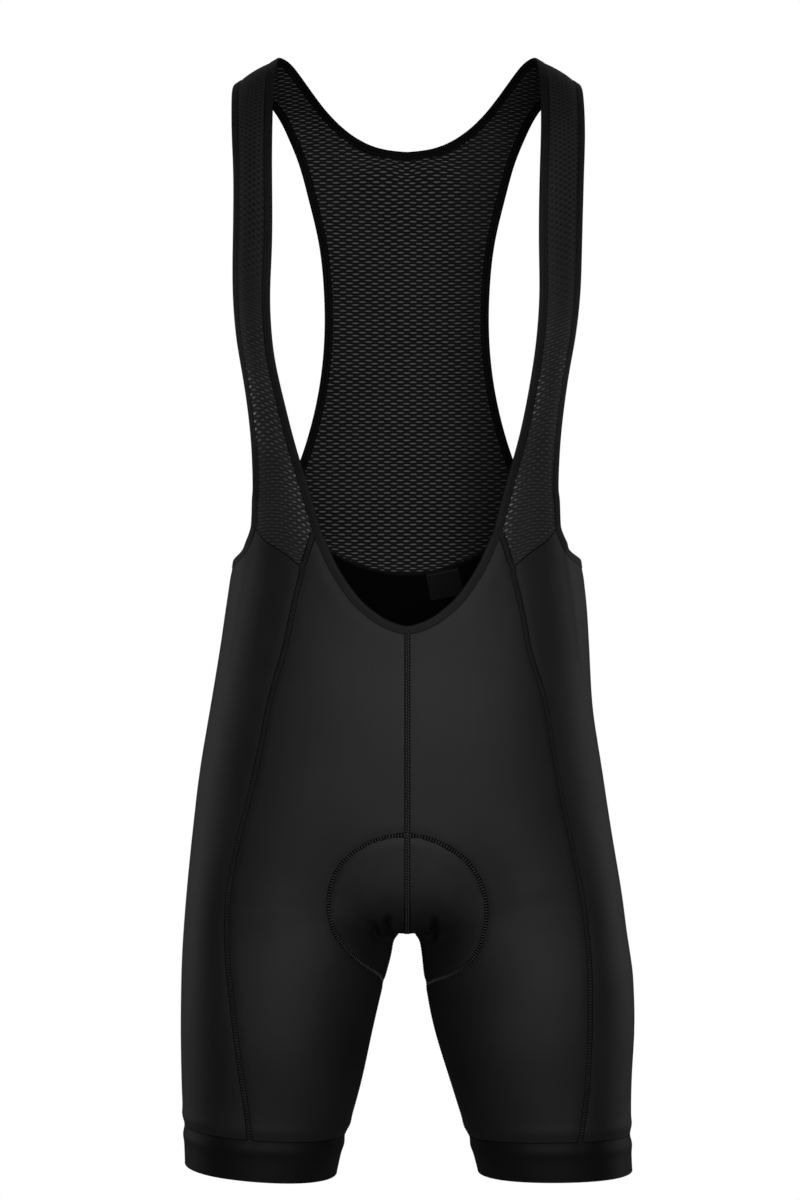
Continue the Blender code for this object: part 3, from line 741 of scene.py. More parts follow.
    def back_place(self, point: Vector) -> tuple[float, float]:
        """Place in the back's knit, in eyelets: level rows that carry on over the shoulders."""
        over = max(self.shoulder_y - point.y, 0.0) * self.shoulder_grain if point.z > self.shoulder_z else 0.0
        return point.x / self.back_eyelet.x, (point.z + over) / self.back_eyelet.z

    def lay_strap(self, net: Net, side: Side) -> None:
        """Lays a front strap, from the shoulder seam down to its V on the shorts.

        Args:
            net: Net that takes the faces.
            side: The half.
        """
        form = self.form
        columns = self.v_inner_columns + self.v_outer_columns
        ribbons = [self.leaned(ribbon, side) for ribbon in reversed(resample(STRAP, self.strap_rows))]
        rows = self.crowned([self.ribbon_row(ribbon, columns, side) for ribbon in ribbons], side)
        v_edge = resample(V_INNER, self.v_inner_columns) + resample(V_OUTER, self.v_outer_columns)[1:]
        foot = rows[-1]
        for row in range(1, self.strap_base_rows + 1):
            share = row / self.strap_base_rows
            points = []
            for low, high in zip((self.hung(side, edge) for edge in v_edge), foot):
                x, z = mix(abs(high.x), low.x, share), mix(high.z, low.z, share)
                point = form.point(side, form.turn_at(side, x, z), z)
                if row < self.strap_base_rows:
                    point.y = mix(high.y, point.y, ease(share * self.strap_base_settling))
                points.append(point)
            rows.append(points)
        net.add("strap_" + side.tag, rows, side.value, [[self.strap_place(at) for at in row] for row in rows])

    def lay_back(self, net: Net, side: Side) -> None:
        """Lays one half of the back mesh. The halves share the points of the middle of the back.

        Args:
            net: Net that takes the faces.
            side: The half.
        """
        columns = self.back_columns
        rows = []
        for number, ribbon in enumerate(resample(SHOULDER, self.shoulder_rows)):
            rows.append(self.ribbon_row(ribbon, columns, side, bend=1.0 + number / self.shoulder_rows))
        for number, ribbon in enumerate(resample(SPINE, self.spine_rows)[1:-1], 1):
            drop = 1.0 + number / self.spine_rows
            rows.append(self.ribbon_row(ribbon, columns, side, bend=2.0, drop=drop))
        seam = [self.waist_seam(side, column) for column in range(columns + 1)]
        rows.append([self.form.point(side, *place) for place in seam])
        net.add("back_mesh", rows, -side.value, [[self.back_place(at) for at in row] for row in rows])


# ---------------------------------------- surface


def unit(vectors: np.ndarray) -> np.ndarray:
    """Vectors of length 1."""
    return vectors / np.maximum(np.linalg.norm(vectors, axis=1, keepdims=True), 1e-12)


def read(items: bpy.types.bpy_prop_collection, name: str, size: int, kind: type = float) -> np.ndarray:
    """One value of every item, in rows of the given size.

    Args:
        items: The items.
        name: Their value.
        size: Numbers in one value.
        kind: Type of the numbers.

    Returns:
        One row for each item.
    """
    found = np.empty(len(items) * size, dtype=kind)
    items.foreach_get(name, found)
    return found.reshape(-1, size)


def distances(points: np.ndarray, places: np.ndarray) -> np.ndarray:
    """Distance of each point from the nearest place.

    Args:
        points: The points.
        places: The places.

    Returns:
        One distance for each point.
    """
    tree = KDTree(len(places))
    for number, place in enumerate(places):
        tree.insert(place, number)
    tree.balance()
    return np.array([tree.find(point)[2] for point in points])


@dataclass
class Path:
    """A line on the cloth, in metres, with the cloth's normals and the direction across it."""

    points: np.ndarray
    normals: np.ndarray
    across: np.ndarray
    closed: bool

    def wrapped(self, values: np.ndarray) -> np.ndarray:
        """Values of the points, and the first one's again where the line is closed."""
        return np.vstack([values, values[:1]]) if self.closed else values

    def lengths(self) -> np.ndarray:
        """Distance along the line of each of its wrapped points."""
        steps = np.linalg.norm(np.diff(self.wrapped(self.points), axis=0), axis=1)
        return np.concatenate([[0.0], np.cumsum(steps)])

    def resampled(self, step: float, start: float = 0.0) -> "Path":
        """The line at even steps.

        Args:
            step: Distance between points, in metres.
            start: Distance from the old start to the new one, on an open line.

        Returns:
            A new line.
        """
        lengths = self.lengths()
        total = lengths[-1]
        count = max(int(round((total - start) / step)), 2)
        if self.closed:
            at = (start + np.arange(count) * total / count) % total
        else:
            at = np.linspace(start, total, count + 1)
        found = []
        for values in map(self.wrapped, (self.points, self.normals, self.across)):
            found.append(np.stack([np.interp(at, lengths, column) for column in values.T], axis=1))
        return Path(found[0], unit(found[1]), unit(found[2]), self.closed)

    def moved(self, across: float, lift: float) -> "Path":
        """The line moved across the cloth and out of it, in metres."""
        points = self.points + self.across * across + self.normals * lift
        return Path(points, self.normals, self.across, self.closed)


@dataclass
class Fold:
    """A soft crease on one side of the garment: a trough with a ridge beside it, in millimetres."""

    depth: float
    width: float
    behind: bool
    line: tuple[Edge, ...]
    taper: float = 0.7
    ridge: float = 0.45
    ridge_at: float = 1.7


class Press(NamedTuple):
    """How sewing draws the cloth in: depth on the line, width over which it fades, and ridge beside it.

    The ridge is a share of the depth, and lies at ridge_at widths.
    """

    depth: float
    width: float
    ridge: float = 0.0
    ridge_at: float = 2.0


class Easing(NamedTuple):
    """Where the cloth is eased on both halves, in millimetres, and how often.

    The back stays as it is where front is set.
    """

    middle: Edge
    reach: Edge
    rounds: int
    front: bool = True
    share: float = 0.6


@dataclass
class Cloth:
    """The fine outer surface of the whole garment, in metres."""

    points: np.ndarray
    quads: np.ndarray
    owner: np.ndarray
    grain: np.ndarray
    pieces: list[str]
    press_step: float = 1.5 * MM

    def __post_init__(self) -> None:
        """Works out the normals."""
        self.update_normals()

    @classmethod
    def from_net(cls, net: Net, levels: int, rounds: int = 2) -> "Cloth":
        """Smooths the net into a fine surface that keeps the net's points.

        Args:
            net: The coarse net.
            levels: Times that each quad is cut in four.
            rounds: Times that the net is moved towards meeting its points.

        Returns:
            The surface.
        """
        pieces = list(dict.fromkeys(face.piece for face in net.faces))
        wanted = np.array([tuple(point * MM) for point in net.points])
        mesh = bpy.data.meshes.new("net")
        mesh.from_pydata(wanted.tolist(), [], [face.corners for face in net.faces])
        layer = mesh.uv_layers.new(name=PATTERN)
        layer.data.foreach_set("uv", [value for face in net.faces for at in face.grain for value in at])
        for name in pieces:
            mesh.materials.append(bpy.data.materials.new(name))
        mesh.polygons.foreach_set("material_index", [pieces.index(face.piece) for face in net.faces])
        obj = bpy.data.objects.new("net", mesh)
        bpy.context.scene.collection.objects.link(obj)
        smoothing = obj.modifiers.new("smooth", "SUBSURF")
        smoothing.levels = smoothing.render_levels = levels
        smoothing.boundary_smooth = "ALL"
        smoothing.uv_smooth = "PRESERVE_BOUNDARIES"
        # The smoothed net lies a little inside its points, so they are moved out until it meets them.
        moved = wanted.copy()
        for _ in range(rounds):
            fine = evaluated(obj)
            moved += wanted - read(fine.vertices, "co", 3)[: len(wanted)]
            mesh.vertices.foreach_set("co", moved.ravel())
            mesh.update()
            bpy.data.meshes.remove(fine)
        fine = evaluated(obj)
        points = read(fine.vertices, "co", 3)
        quads = read(fine.loops, "vertex_index", 1, np.int64).reshape(-1, 4)
        owner = read(fine.polygons, "material_index", 1, np.int64).ravel()
        grain = read(fine.uv_layers[PATTERN].data, "uv", 2).reshape(-1, 4, 2)
        bpy.data.objects.remove(obj)
        for old in (mesh, fine):
            bpy.data.meshes.remove(old)
        for name in pieces:
            bpy.data.materials.remove(bpy.data.materials[name])
        return cls(points, quads, owner, grain, pieces)

    def update_normals(self) -> None:
        """Works out each point's normal from all quads round it."""
        corners = self.points[self.quads]
        normals = np.cross(corners[:, 2] - corners[:, 0], corners[:, 3] - corners[:, 1])
        total = np.zeros_like(self.points)
        for corner in range(4):
            np.add.at(total, self.quads[:, corner], normals)
        self.normals = unit(total)

    def push(self, distance: np.ndarray) -> None:
        """Moves each point along its normal by a distance in metres."""
        self.points = self.points + self.normals * distance[:, None]
        self.update_normals()

    def round_off(self, easing: Easing) -> None:
        """Moves the points round a place towards their neighbours' mean.

        Args:
            easing: Place, reach and strength of the rounding.
        """
        across = (np.abs(self.points[:, 0]) / MM - easing.middle.x) / easing.reach.x
        away = np.hypot(across, (self.points[:, 2] / MM - easing.middle.z) / easing.reach.z)
        if easing.front:
            away[self.points[:, 1] > 0.0] = 1.0
        share = easing.share * ease_all(1.0 - away)
        after = np.roll(self.quads, -1, axis=1)
        starts = np.concatenate([self.quads, after]).ravel()
        ends = np.concatenate([after, self.quads]).ravel()
        near = share[starts] > 0.0
        starts, ends = starts[near], ends[near]
        moving = np.unique(starts)
        count = np.bincount(starts, minlength=len(share))[moving]
        for _ in range(easing.rounds):
            sums = [np.bincount(starts, self.points[ends, axis], len(share))[moving] for axis in range(3)]
            offset = np.stack(sums, axis=1) / count[:, None] - self.points[moving]
            self.points[moving] += offset * share[moving, None]
        self.update_normals()

    def fold(self, folds: Iterable[Fold]) -> None:
        """Presses soft creases into the cloth.

        Args:
            folds: The creases.
        """
        moves = np.zeros(len(self.points))
        flat = self.points[:, [0, 2]]
        for fold in folds:
            line = np.array(resample(fold.line, 4 * len(fold.line))) * MM
            nearest = np.full(len(flat), np.inf)
            along = np.zeros(len(flat))
            for number, (start, end) in enumerate(zip(line, line[1:])):
                span = end - start
                share = np.clip(((flat - start) @ span) / (span @ span), 0.0, 1.0)
                away = np.linalg.norm(flat - start - share[:, None] * span, axis=1)
                closer = away < nearest
                nearest[closer] = away[closer]
                along[closer] = ((number + share) / (len(line) - 1))[closer]
            away = nearest / (fold.width * MM)
            profile = fold.ridge * np.exp(-((away - fold.ridge_at) ** 2)) - np.exp(-(away**2))
            profile *= np.sin(np.pi * np.clip(along, 0.0, 1.0)) ** fold.taper
            moves += np.where((self.points[:, 1] > 0.0) == fold.behind, profile * fold.depth * MM, 0.0)
        self.push(moves)

    def press(self, paths: Iterable[Path], press: Press) -> None:
        """Draws the cloth in along lines.

        Args:
            paths: The lines.
            press: Width and depth of the groove.
        """
        places = np.vstack([path.resampled(self.press_step).points for path in paths])
        away = distances(self.points, places) / press.width
        ridge = press.ridge * np.exp(-((away - press.ridge_at) ** 2))
        self.push(press.depth * (ridge - np.exp(-(away**2))))

    def borders(self) -> dict[tuple[int, int], list[int]]:
        """For each edge, the quads at it.

        Returns:
            Numbers of the quads by the two ends of the edge.
        """
        edges: dict[tuple[int, int], list[int]] = {}
        for number, quad in enumerate(self.quads.tolist()):
            for start, end in zip(quad, quad[1:] + quad[:1]):
                edges.setdefault((min(start, end), max(start, end)), []).append(number)
        return edges

    def chains(self, edges: Sequence[tuple[int, int]]) -> list[tuple[list[int], bool]]:
        """Orders edges into lines.

        Args:
            edges: Pairs of points.

        Returns:
            The points of each line in order, and whether it is closed.
        """
        joined: dict[int, list[int]] = {}
        for start, end in edges:
            joined.setdefault(start, []).append(end)
            joined.setdefault(end, []).append(start)
        left = {frozenset(edge) for edge in edges}
        chains = []
        for start in [point for point, near in joined.items() if len(near) != 2] + list(joined):
            while any(frozenset((start, near)) in left for near in joined[start]):
                chain = [start]
                while len(chain) == 1 or len(joined[chain[-1]]) == 2:
                    near = [point for point in joined[chain[-1]] if frozenset((chain[-1], point)) in left]
                    if not near:
                        break
                    left.discard(frozenset((chain[-1], near[0])))
                    chain.append(near[0])
                closed = chain[0] == chain[-1]
                chains.append((chain[:-1] if closed else chain, closed))
        return chains

    def path(self, chain: Sequence[int], closed: bool, outward: dict[int, int] | None = None) -> Path:
        """A line through points of the cloth.

        Args:
            chain: The points in order.
            closed: Whether it ends where it starts.
            outward: For an edge of the cloth, a quad at each point, so that across points off the cloth.

        Returns:
            The line.
        """
        points, normals = self.points[list(chain)], self.normals[list(chain)]
        if closed:
            along = np.roll(points, -1, axis=0) - np.roll(points, 1, axis=0)
        else:
            along = np.vstack([points[1:], points[-1:]]) - np.vstack([points[:1], points[:-1]])
        across = unit(np.cross(along, normals))
        if outward is not None:
            middle = self.points[self.quads[[outward[number] for number in chain]]].mean(axis=1)
            across *= -np.sign(((middle - points) * across).sum())
        return Path(points, normals, across, closed)


@dataclass
class Sewing:
    """The lines along which the cloth is sewn and bound, found from the fine surface."""

    cloth: Cloth
    hem_height: float = -0.8
    long_press: Press = Press(0.5 * MM, 5.0 * MM)
    joint_press: Press = Press(1.1 * MM, 4.5 * MM, 0.6)
    rim_press: Press = Press(0.6 * MM, 6.0 * MM)

    def __post_init__(self) -> None:
        """Sorts the surface's edges by the pieces that they join."""
        self.joins: dict[frozenset[str], list[tuple[int, int]]] = {}
        self.free: list[tuple[int, int]] = []
        self.at_edge: dict[int, int] = {}
        for edge, quads in self.cloth.borders().items():
            owners = frozenset(self.cloth.pieces[self.cloth.owner[quad]] for quad in quads)
            if len(quads) == 1:
                self.free.append(edge)
                self.at_edge.update(dict.fromkeys(edge, quads[0]))
            elif len(owners) == 2:
                self.joins.setdefault(owners, []).append(edge)

    def seam(self, *pairs: tuple[str, str]) -> list[Path]:
        """Lines between pairs of pieces.

        Args:
            pairs: Names of two pieces that meet.

        Returns:
            One line for each run of shared edges.
        """
        found = []
        for pair in pairs:
            chains = self.cloth.chains(self.joins.get(frozenset(pair), []))
            found += [self.cloth.path(chain, closed) for chain, closed in chains]
        return found

    def draw_in(self) -> None:
        """Draws the cloth in a little along its long seams, gripper joints and rims."""
        long, joints = [], []
        for tag in TAGS:
            front, middle, seat = (panel + tag for panel in PANELS)
            long += [(front, middle), (middle, seat)]
            joints += [(panel, "gripper_" + tag) for panel in (front, middle, seat)]
        long += [(panel + Side.LEFT.tag, panel + Side.RIGHT.tag) for panel in PANELS[::2]]
        long_lines, joint_lines = self.seam(*long), self.seam(*joints)
        self.cloth.press(long_lines, self.long_press)
        self.cloth.press(joint_lines, self.joint_press)
        self.cloth.press([rim for rim in self.rims() if not self.at_hem(rim)], self.rim_press)

    def rims(self) -> list[Path]:
        """Closed lines round the neck, armholes and hems."""
        chains = self.cloth.chains(self.free)
        return [self.cloth.path(chain, closed, self.at_edge) for chain, closed in chains]

    def at_hem(self, rim: Path) -> bool:
        """Whether the rim is a hem."""
        return rim.points[:, 2].max() < self.hem_height


# ---------------------------------------- meshes


def evaluated(obj: bpy.types.Object) -> bpy.types.Mesh:
    """The object's mesh with its modifiers."""
    graph = bpy.context.evaluated_depsgraph_get()
    return bpy.data.meshes.new_from_object(obj.evaluated_get(graph))


def link(name: str, mesh: bpy.types.Mesh, slot: str, *finishes: bpy.types.Material) -> bpy.types.Object:
    """Makes an object of a mesh that rides on the garment's body.

    Args:
        name: The object's name.
        mesh: The mesh.
        slot: The record's slot that it takes its finish from. Not used.
        finishes: Its material, and that of its inner faces where it has another.

    Returns:
        The object.
    """
    inner = read(mesh.polygons, "material_index", 1, np.int32).ravel() * (len(finishes) > 1)
    mesh.materials.clear()
    for material in (finishes[0], finishes[-1]):
        mesh.materials.append(material)
    mesh.polygons.foreach_set("material_index", inner)
    obj = bpy.data.objects.new(name, mesh)
    bpy.context.scene.collection.objects.link(obj)
    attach(obj, BODY)
    return obj


def new_mesh(
    name: str, points: np.ndarray, faces: list[list[int]], grain: np.ndarray, inner: Sequence[int]
) -> bpy.types.Mesh:
    """Smooth-shaded mesh with its own pattern coordinates.

    Args:
        name: The mesh's name.
        points: Its points, in metres.
        faces: Its faces.
        grain: Pattern coordinates of each corner, in the faces' order.
        inner: 1 for each face that looks into the garment, 0 for the others.

    Returns:
        The mesh.
    """
    mesh = bpy.data.meshes.new(name)
    mesh.from_pydata(points.tolist(), [], faces)
    mesh.uv_layers.new(name=PATTERN).data.foreach_set("uv", grain.ravel())
    mesh.polygons.foreach_set("material_index", inner)
    mesh.shade_smooth()
    mesh.set_sharp_from_angle(angle=SHARP)
    mesh.update()
    return mesh


def sweep(name: str, path: Path, profile: Sequence[Sequence[float]], span: float = MM) -> bpy.types.Mesh:
    """Closed strip along a line.

    Args:
        name: The mesh's name.
        path: The line.
        profile: Outline of the section, as metres across the line and out of the cloth, in order round
            it from the cloth's outer side.
        span: Width that the pattern counts as 1 across the strip, in metres.

    Returns:
        The strip, whose pattern runs in millimetres along it. Faces that look into the garment are inner.
    """
    size, count = len(profile), len(path.points)
    rings = [path.points + path.across * across + path.normals * height for across, height in profile]
    points = np.stack(rings, axis=1).reshape(-1, 3)
    lengths = path.lengths() / MM
    faces, grain, inner = [], [], []
    for number in range(count if path.closed else count - 1):
        here, there = number * size, (number + 1) % count * size
        start, end = lengths[number : number + 2]
        for corner in range(size):
            after = (corner + 1) % size
            low, high = profile[corner][0] / span, profile[after][0] / span
            faces.append([here + corner, there + corner, there + after, here + after])
            grain.append([(start, low), (end, low), (end, high), (start, high)])
            inner.append(int(profile[corner][1] + profile[after][1] < 0.0))
    if not path.closed:
        faces += [list(range(size)), list(range(count * size - 1, (count - 1) * size - 1, -1))]
        grain += [[(0.0, 0.0)] * size] * 2
        inner += [0, 0]
    first = points[faces[0]]
    outward = np.cross(first[2] - first[0], first[3] - first[1])
    turn = 1 if outward @ (first.mean(axis=0) - points[:size].mean(axis=0)) > 0.0 else -1
    grain = np.array([place for places in grain for place in places[::turn]])
    return new_mesh(name, points, [face[::turn] for face in faces], grain, inner)


def thickened(
    name: str, outer: np.ndarray, inner: np.ndarray, quads: np.ndarray, grain: np.ndarray
) -> bpy.types.Mesh:
    """Thin closed shell between two surfaces of the same quads.

    Args:
        name: The mesh's name.
        outer: Points of the outer surface.
        inner: Points of the inner surface.
        quads: Corners of each quad.
        grain: Pattern coordinates of each corner of each quad.

    Returns:
        The shell. The faces of the inner surface are inner.
    """
    count = len(outer)
    edges = {(start, end) for quad in quads.tolist() for start, end in zip(quad, quad[1:] + quad[:1])}
    rim = sorted((start, end) for start, end in edges if (end, start) not in edges)
    faces = quads.tolist() + (quads[:, ::-1] + count).tolist()
    faces += [[end, start, start + count, end + count] for start, end in rim]
    places = np.zeros((count, 2))
    places[quads.ravel()] = grain.reshape(-1, 2)
    sides = places[[[end, start, start, end] for start, end in rim]]
    marks = [0] * len(quads) + [1] * len(quads) + [0] * len(rim)
    grain = np.concatenate([grain, grain[:, ::-1], sides])
    return new_mesh(name, np.vstack([outer, inner]), faces, grain, marks)


# ---------------------------------------- stitches


def threads_tree() -> bpy.types.NodeTree:
    """Geometry nodes that lay one short thread at each step along lines.

    Returns:
        The tree. Its named inputs are the sizes of a StitchRow, the lines and the thread's finish.
    """
    tree = bpy.data.node_groups.new("Stitches along lines", "GeometryNodeTree")
    sizes = {size.name.capitalize(): "Float" for size in fields(StitchRow)}
    for name, kind in {"Lines": "Geometry", **sizes, "Thread": "Material"}.items():
        tree.interface.new_socket(name, in_out="INPUT", socket_type="NodeSocket" + kind)
    tree.interface.new_socket("Stitches", in_out="OUTPUT", socket_type="NodeSocketGeometry")
    node = Nodes(tree)
    given = node.add("NodeGroupInput")
    curve = node.add("GeometryNodeMeshToCurve", given["Lines"])
    steps = node.add("GeometryNodeResampleCurve", curve, mode="LENGTH", Length=given["Pitch"])
    tangent = node.add("GeometryNodeInputTangent")
    up = node.add("GeometryNodeInputNamedAttribute", data_type="FLOAT_VECTOR", Name=UP)
    facing = node.add("FunctionNodeAxesToRotation", up, tangent, primary_axis="Z", secondary_axis="X")
    uneven = node.add("FunctionNodeRandomValue", data_type="FLOAT", Min=-1.0, Max=1.0, Seed=7)
    spin = node.add("ShaderNodeCombineXYZ", Z=given["Slant"] + uneven * given["Unevenness"])
    turn = node.add("FunctionNodeRotateRotation", facing, spin, rotation_space="LOCAL")
    thread = node.add("GeometryNodeMeshIcoSphere", Radius=0.5, Subdivisions=1)
    scale = node.add("ShaderNodeCombineXYZ", given["Length"], given["Width"], given["Height"])
    smooth = node.add("GeometryNodeSetShadeSmooth", thread)
    laid = node.add("GeometryNodeInstanceOnPoints", steps, Instance=smooth, Rotation=turn, Scale=scale)
    real = node.add("GeometryNodeRealizeInstances", laid)
    node.add("NodeGroupOutput", node.add("GeometryNodeSetMaterial", real, Material=given["Thread"]))
    return tree


@dataclass(frozen=True)
class StitchRow:
    """One kind of stitch row: how its threads lie, in metres and radians."""

    pitch: float
    length: float
    width: float
    height: float
    slant: float = 0.0
    unevenness: float = 0.05

    def build(
        self, name: str, rows: Sequence[Path], tree: bpy.types.NodeTree, thread: bpy.types.Material, slot: str
    ) -> bpy.types.Object:
        """Sews the rows.

        Args:
            name: The object's name.
            rows: Lines that the threads follow.
            tree: Geometry nodes of threads_tree.
            thread: The thread's finish.
            slot: The record's slot that the thread takes its finish from.

        Returns:
            The object, a plain mesh.
        """
        edges, start = [], 0
        for row in rows:
            numbers = list(range(start, start + len(row.points)))
            edges += zip(numbers, numbers[1:] + numbers[: int(row.closed)])
            start += len(numbers)
        lines = bpy.data.meshes.new(name)
        lines.from_pydata(np.vstack([row.points for row in rows]).tolist(), edges, [])
        normals = np.vstack([row.normals for row in rows])
        lines.attributes.new(UP, "FLOAT_VECTOR", "POINT").data.foreach_set("vector", normals.ravel())
        obj = bpy.data.objects.new(name, lines)
        bpy.context.scene.collection.objects.link(obj)
        modifier = obj.modifiers.new("stitches", "NODES")
        modifier.node_group = tree
        values = {size.name.capitalize(): getattr(self, size.name) for size in fields(self)}
        values["Thread"] = thread
        for socket in tree.interface.items_tree:
            if socket.name in values:
                modifier[socket.identifier] = values[socket.name]
        mesh = evaluated(obj)
        bpy.data.objects.remove(obj)
        bpy.data.meshes.remove(lines)
        if UP in mesh.attributes:
            mesh.attributes.remove(mesh.attributes[UP])
        mesh.name = name
        return link(name, mesh, slot, thread)


# ---------------------------------------- finishes


class Nodes:
    """Adds nodes to a tree, with their inputs given by order or by name."""

    def __init__(self, tree: bpy.types.NodeTree) -> None:
        """Takes the tree that the nodes go into."""
        self.tree = tree

    def add(self, kind: str, *inputs: object, **named: object) -> "Made":
        """Adds a node.

        Args:
            kind: The node's type.
            inputs: Numbers or outputs for its first sockets.
            named: Settings, in lower case, and numbers or outputs for sockets, in capitals.

        Returns:
            The node's outputs.
        """
        node = self.tree.nodes.new(kind)
        settings = [name for name in named if name[0].islower()]
        for name in settings:
            setattr(node, name, named.pop(name))
        self.set(node, *inputs, **named)
        return Made(self, node)

    def set(self, node: bpy.types.Node, *inputs: object, **named: object) -> None:
        """Links outputs to the node's sockets in use or sets their numbers, by order or by name.

        Args:
            node: The node.
            inputs: Values or outputs for the sockets in use, in order.
            named: Values or outputs by the name of the socket.
        """
        shown = [socket for socket in node.inputs if socket.enabled]
        pairs = list(zip(shown, inputs))
        for name, value in named.items():
            pairs.append((next(socket for socket in shown if socket.name == name.replace("_", " ")), value))
        for socket, value in pairs:
            if isinstance(value, Made):
                self.tree.links.new(value.socket, socket)
            else:
                socket.default_value = value

    def blend(self, share: object, low: object, high: object) -> "Made":
        """Colour that lies share of the way from low to high."""
        return self.add("ShaderNodeMix", share, low, high, data_type="RGBA")

    def step(self, value: object, low: object, high: object) -> "Made":
        """Smooth step of a value from 0 at low to 1 at high."""
        return self.add("ShaderNodeMapRange", value, low, high, 0.0, 1.0, interpolation_type="SMOOTHSTEP")

    def wave(self, value: "Made", pitch: float) -> "Made":
        """Waves from 0 to 1 along a value."""
        return (value * (2.0 * math.pi / pitch)).apply("SINE") * 0.5 + 0.5

    def place(self) -> "Made":
        """X and Y of the pattern's coordinates."""
        return self.add("ShaderNodeSeparateXYZ", self.add("ShaderNodeUVMap", uv_map=PATTERN))

    def group(self, name: str, **values: object) -> "Made":
        """Places a shared group."""
        return self.add("ShaderNodeGroup", node_tree=bpy.data.node_groups[name], **values)


class Made:
    """Outputs of an added node. Arithmetic works on the chosen one, by default the first."""

    def __init__(self, nodes: Nodes, node: bpy.types.Node, key: str | int = 0) -> None:
        """Takes the node, and the name or number of its chosen output."""
        self.nodes, self.node, self.key = nodes, node, key

    def __getitem__(self, key: str) -> "Made":
        """The node with another output chosen."""
        return Made(self.nodes, self.node, key)

    @property
    def socket(self) -> bpy.types.NodeSocket:
        """The chosen output, among those in use."""
        shown = [socket for socket in self.node.outputs if socket.enabled]
        return next(socket for number, socket in enumerate(shown) if self.key in (number, socket.name))

    def apply(self, operation: str, *others: object) -> "Made":
        """Result of a Math node, with the output as its first value."""
        return self.nodes.add("ShaderNodeMath", self, *others, operation=operation)

    def after(self, operation: str, other: float) -> "Made":
        """Result of a Math node, with the output as its second value."""
        return self.nodes.add("ShaderNodeMath", other, self, operation=operation)

    __add__ = partialmethod(apply, "ADD")
    __sub__ = partialmethod(apply, "SUBTRACT")
    __mul__ = partialmethod(apply, "MULTIPLY")
    __truediv__ = partialmethod(apply, "DIVIDE")
    __pow__ = partialmethod(apply, "POWER")
    __abs__ = partialmethod(apply, "ABSOLUTE")
    __radd__ = partialmethod(after, "ADD")
    __rsub__ = partialmethod(after, "SUBTRACT")
    __rtruediv__ = partialmethod(after, "DIVIDE")


def shader_group(name: str, inputs: dict[str, float], outputs: Sequence[str]) -> tuple[Nodes, Made]:
    """Shader group of numbers.

    Args:
        name: Its name.
        inputs: Name and usual value of each input.
        outputs: Name of each output.

    Returns:
        Its nodes and its inputs.
    """
    tree = bpy.data.node_groups.new(name, "ShaderNodeTree")
    for label, value in inputs.items():
        tree.interface.new_socket(label, in_out="INPUT", socket_type="NodeSocketFloat").default_value = value
    for label in outputs:
        tree.interface.new_socket(label, in_out="OUTPUT", socket_type="NodeSocketFloat")
    nodes = Nodes(tree)
    return nodes, nodes.add("NodeGroupInput")


def soft_variation(lint_scale: float = 900.0) -> None:
    """Slow unevenness of dyed cloth and fine lint, used by every finish.

    Args:
        lint_scale: Fineness of the lint.
    """
    nodes, given = shader_group("Soft variation", {"Patch size": 0.05, "Lint": 0.15}, ["Tone"])
    place = nodes.add("ShaderNodeTexCoord")["Object"]
    patches = nodes.add("ShaderNodeTexNoise", place, Scale=1.0 / given["Patch size"], Detail=2.0)
    lint = nodes.add("ShaderNodeTexNoise", place, Scale=lint_scale, Detail=3.0)
    nodes.add("NodeGroupOutput", patches + (lint - 0.5) * given["Lint"])


def knit_grain(zigzag: float = 0.8) -> None:
    """Fine loops of a warp knit: wales across the pattern's first axis, courses up its second.

    Args:
        zigzag: How far the wales bend the courses.
    """
    inputs = {"Wale": 0.9, "Course": 0.6, "Rib": 0.5}
    nodes, given = shader_group("Knit grain", inputs, ["Height", "Shade"])
    place = nodes.place()
    across = place["X"] * (2.0 * math.pi / given["Wale"])
    up = place["Y"] * (2.0 * math.pi / given["Course"])
    wale = abs((across * 0.5).apply("SINE"))
    course = (up + across.apply("SINE") * zigzag).apply("SINE")
    height = (course * 0.5 + 0.5) * wale * (1.0 - given["Rib"]) + wale * given["Rib"]
    nodes.add("NodeGroupOutput", height, height - 0.5)


def eyelet_rows(drift: float = 0.05, depth: float = 0.7) -> None:
    """Staggered rows of short eyelets: the mask of the eyelets, the height of the yarns round them, and a
    painted shade that darkens the yarns between the rows.

    Args:
        drift: How far the rows lie out of step, in eyelets.
        depth: Depth of an eyelet against the ridges of the yarns.
    """
    inputs = {"Length": 0.27, "Height of eyelet": 0.34, "Softness": 0.35}
    nodes, given = shader_group("Eyelet rows", inputs, ["Eyelet", "Height", "Yarn"])
    place = nodes.place()
    row = place["Y"].apply("FLOOR")
    odd = row.apply("FLOORED_MODULO", 2.0) * 0.5
    jitter = nodes.add("ShaderNodeTexWhiteNoise", W=row, noise_dimensions="1D")["Value"]
    x = (place["X"] + odd + (jitter - 0.5) * drift).apply("FRACT") - 0.5
    y = place["Y"].apply("FRACT") - 0.5
    away = (abs(x / given["Length"]) ** 2.0 + abs(y / given["Height of eyelet"]) ** 2.0).apply("SQRT")
    eyelet = nodes.step(away, 1.0 + given["Softness"], 1.0 - given["Softness"])
    # The ridge gives both the yarns' height and the painted shade between the rows.
    ridge = ((y * (2.0 * math.pi)).apply("COSINE") + 1.0) * 0.5
    nodes.add("NodeGroupOutput", eyelet, ridge - eyelet * depth, ridge)


def grey(level: float, cool: float = 1.02) -> tuple[float, float, float, float]:
    """A grey of the given level, a little cool."""
    return level, level, level * cool, 1.0


# Near-black painted shade, for the grooves where seams and bindings are drawn in
GROOVE_PAINTED_SHADE = grey(0.001, 1.0)


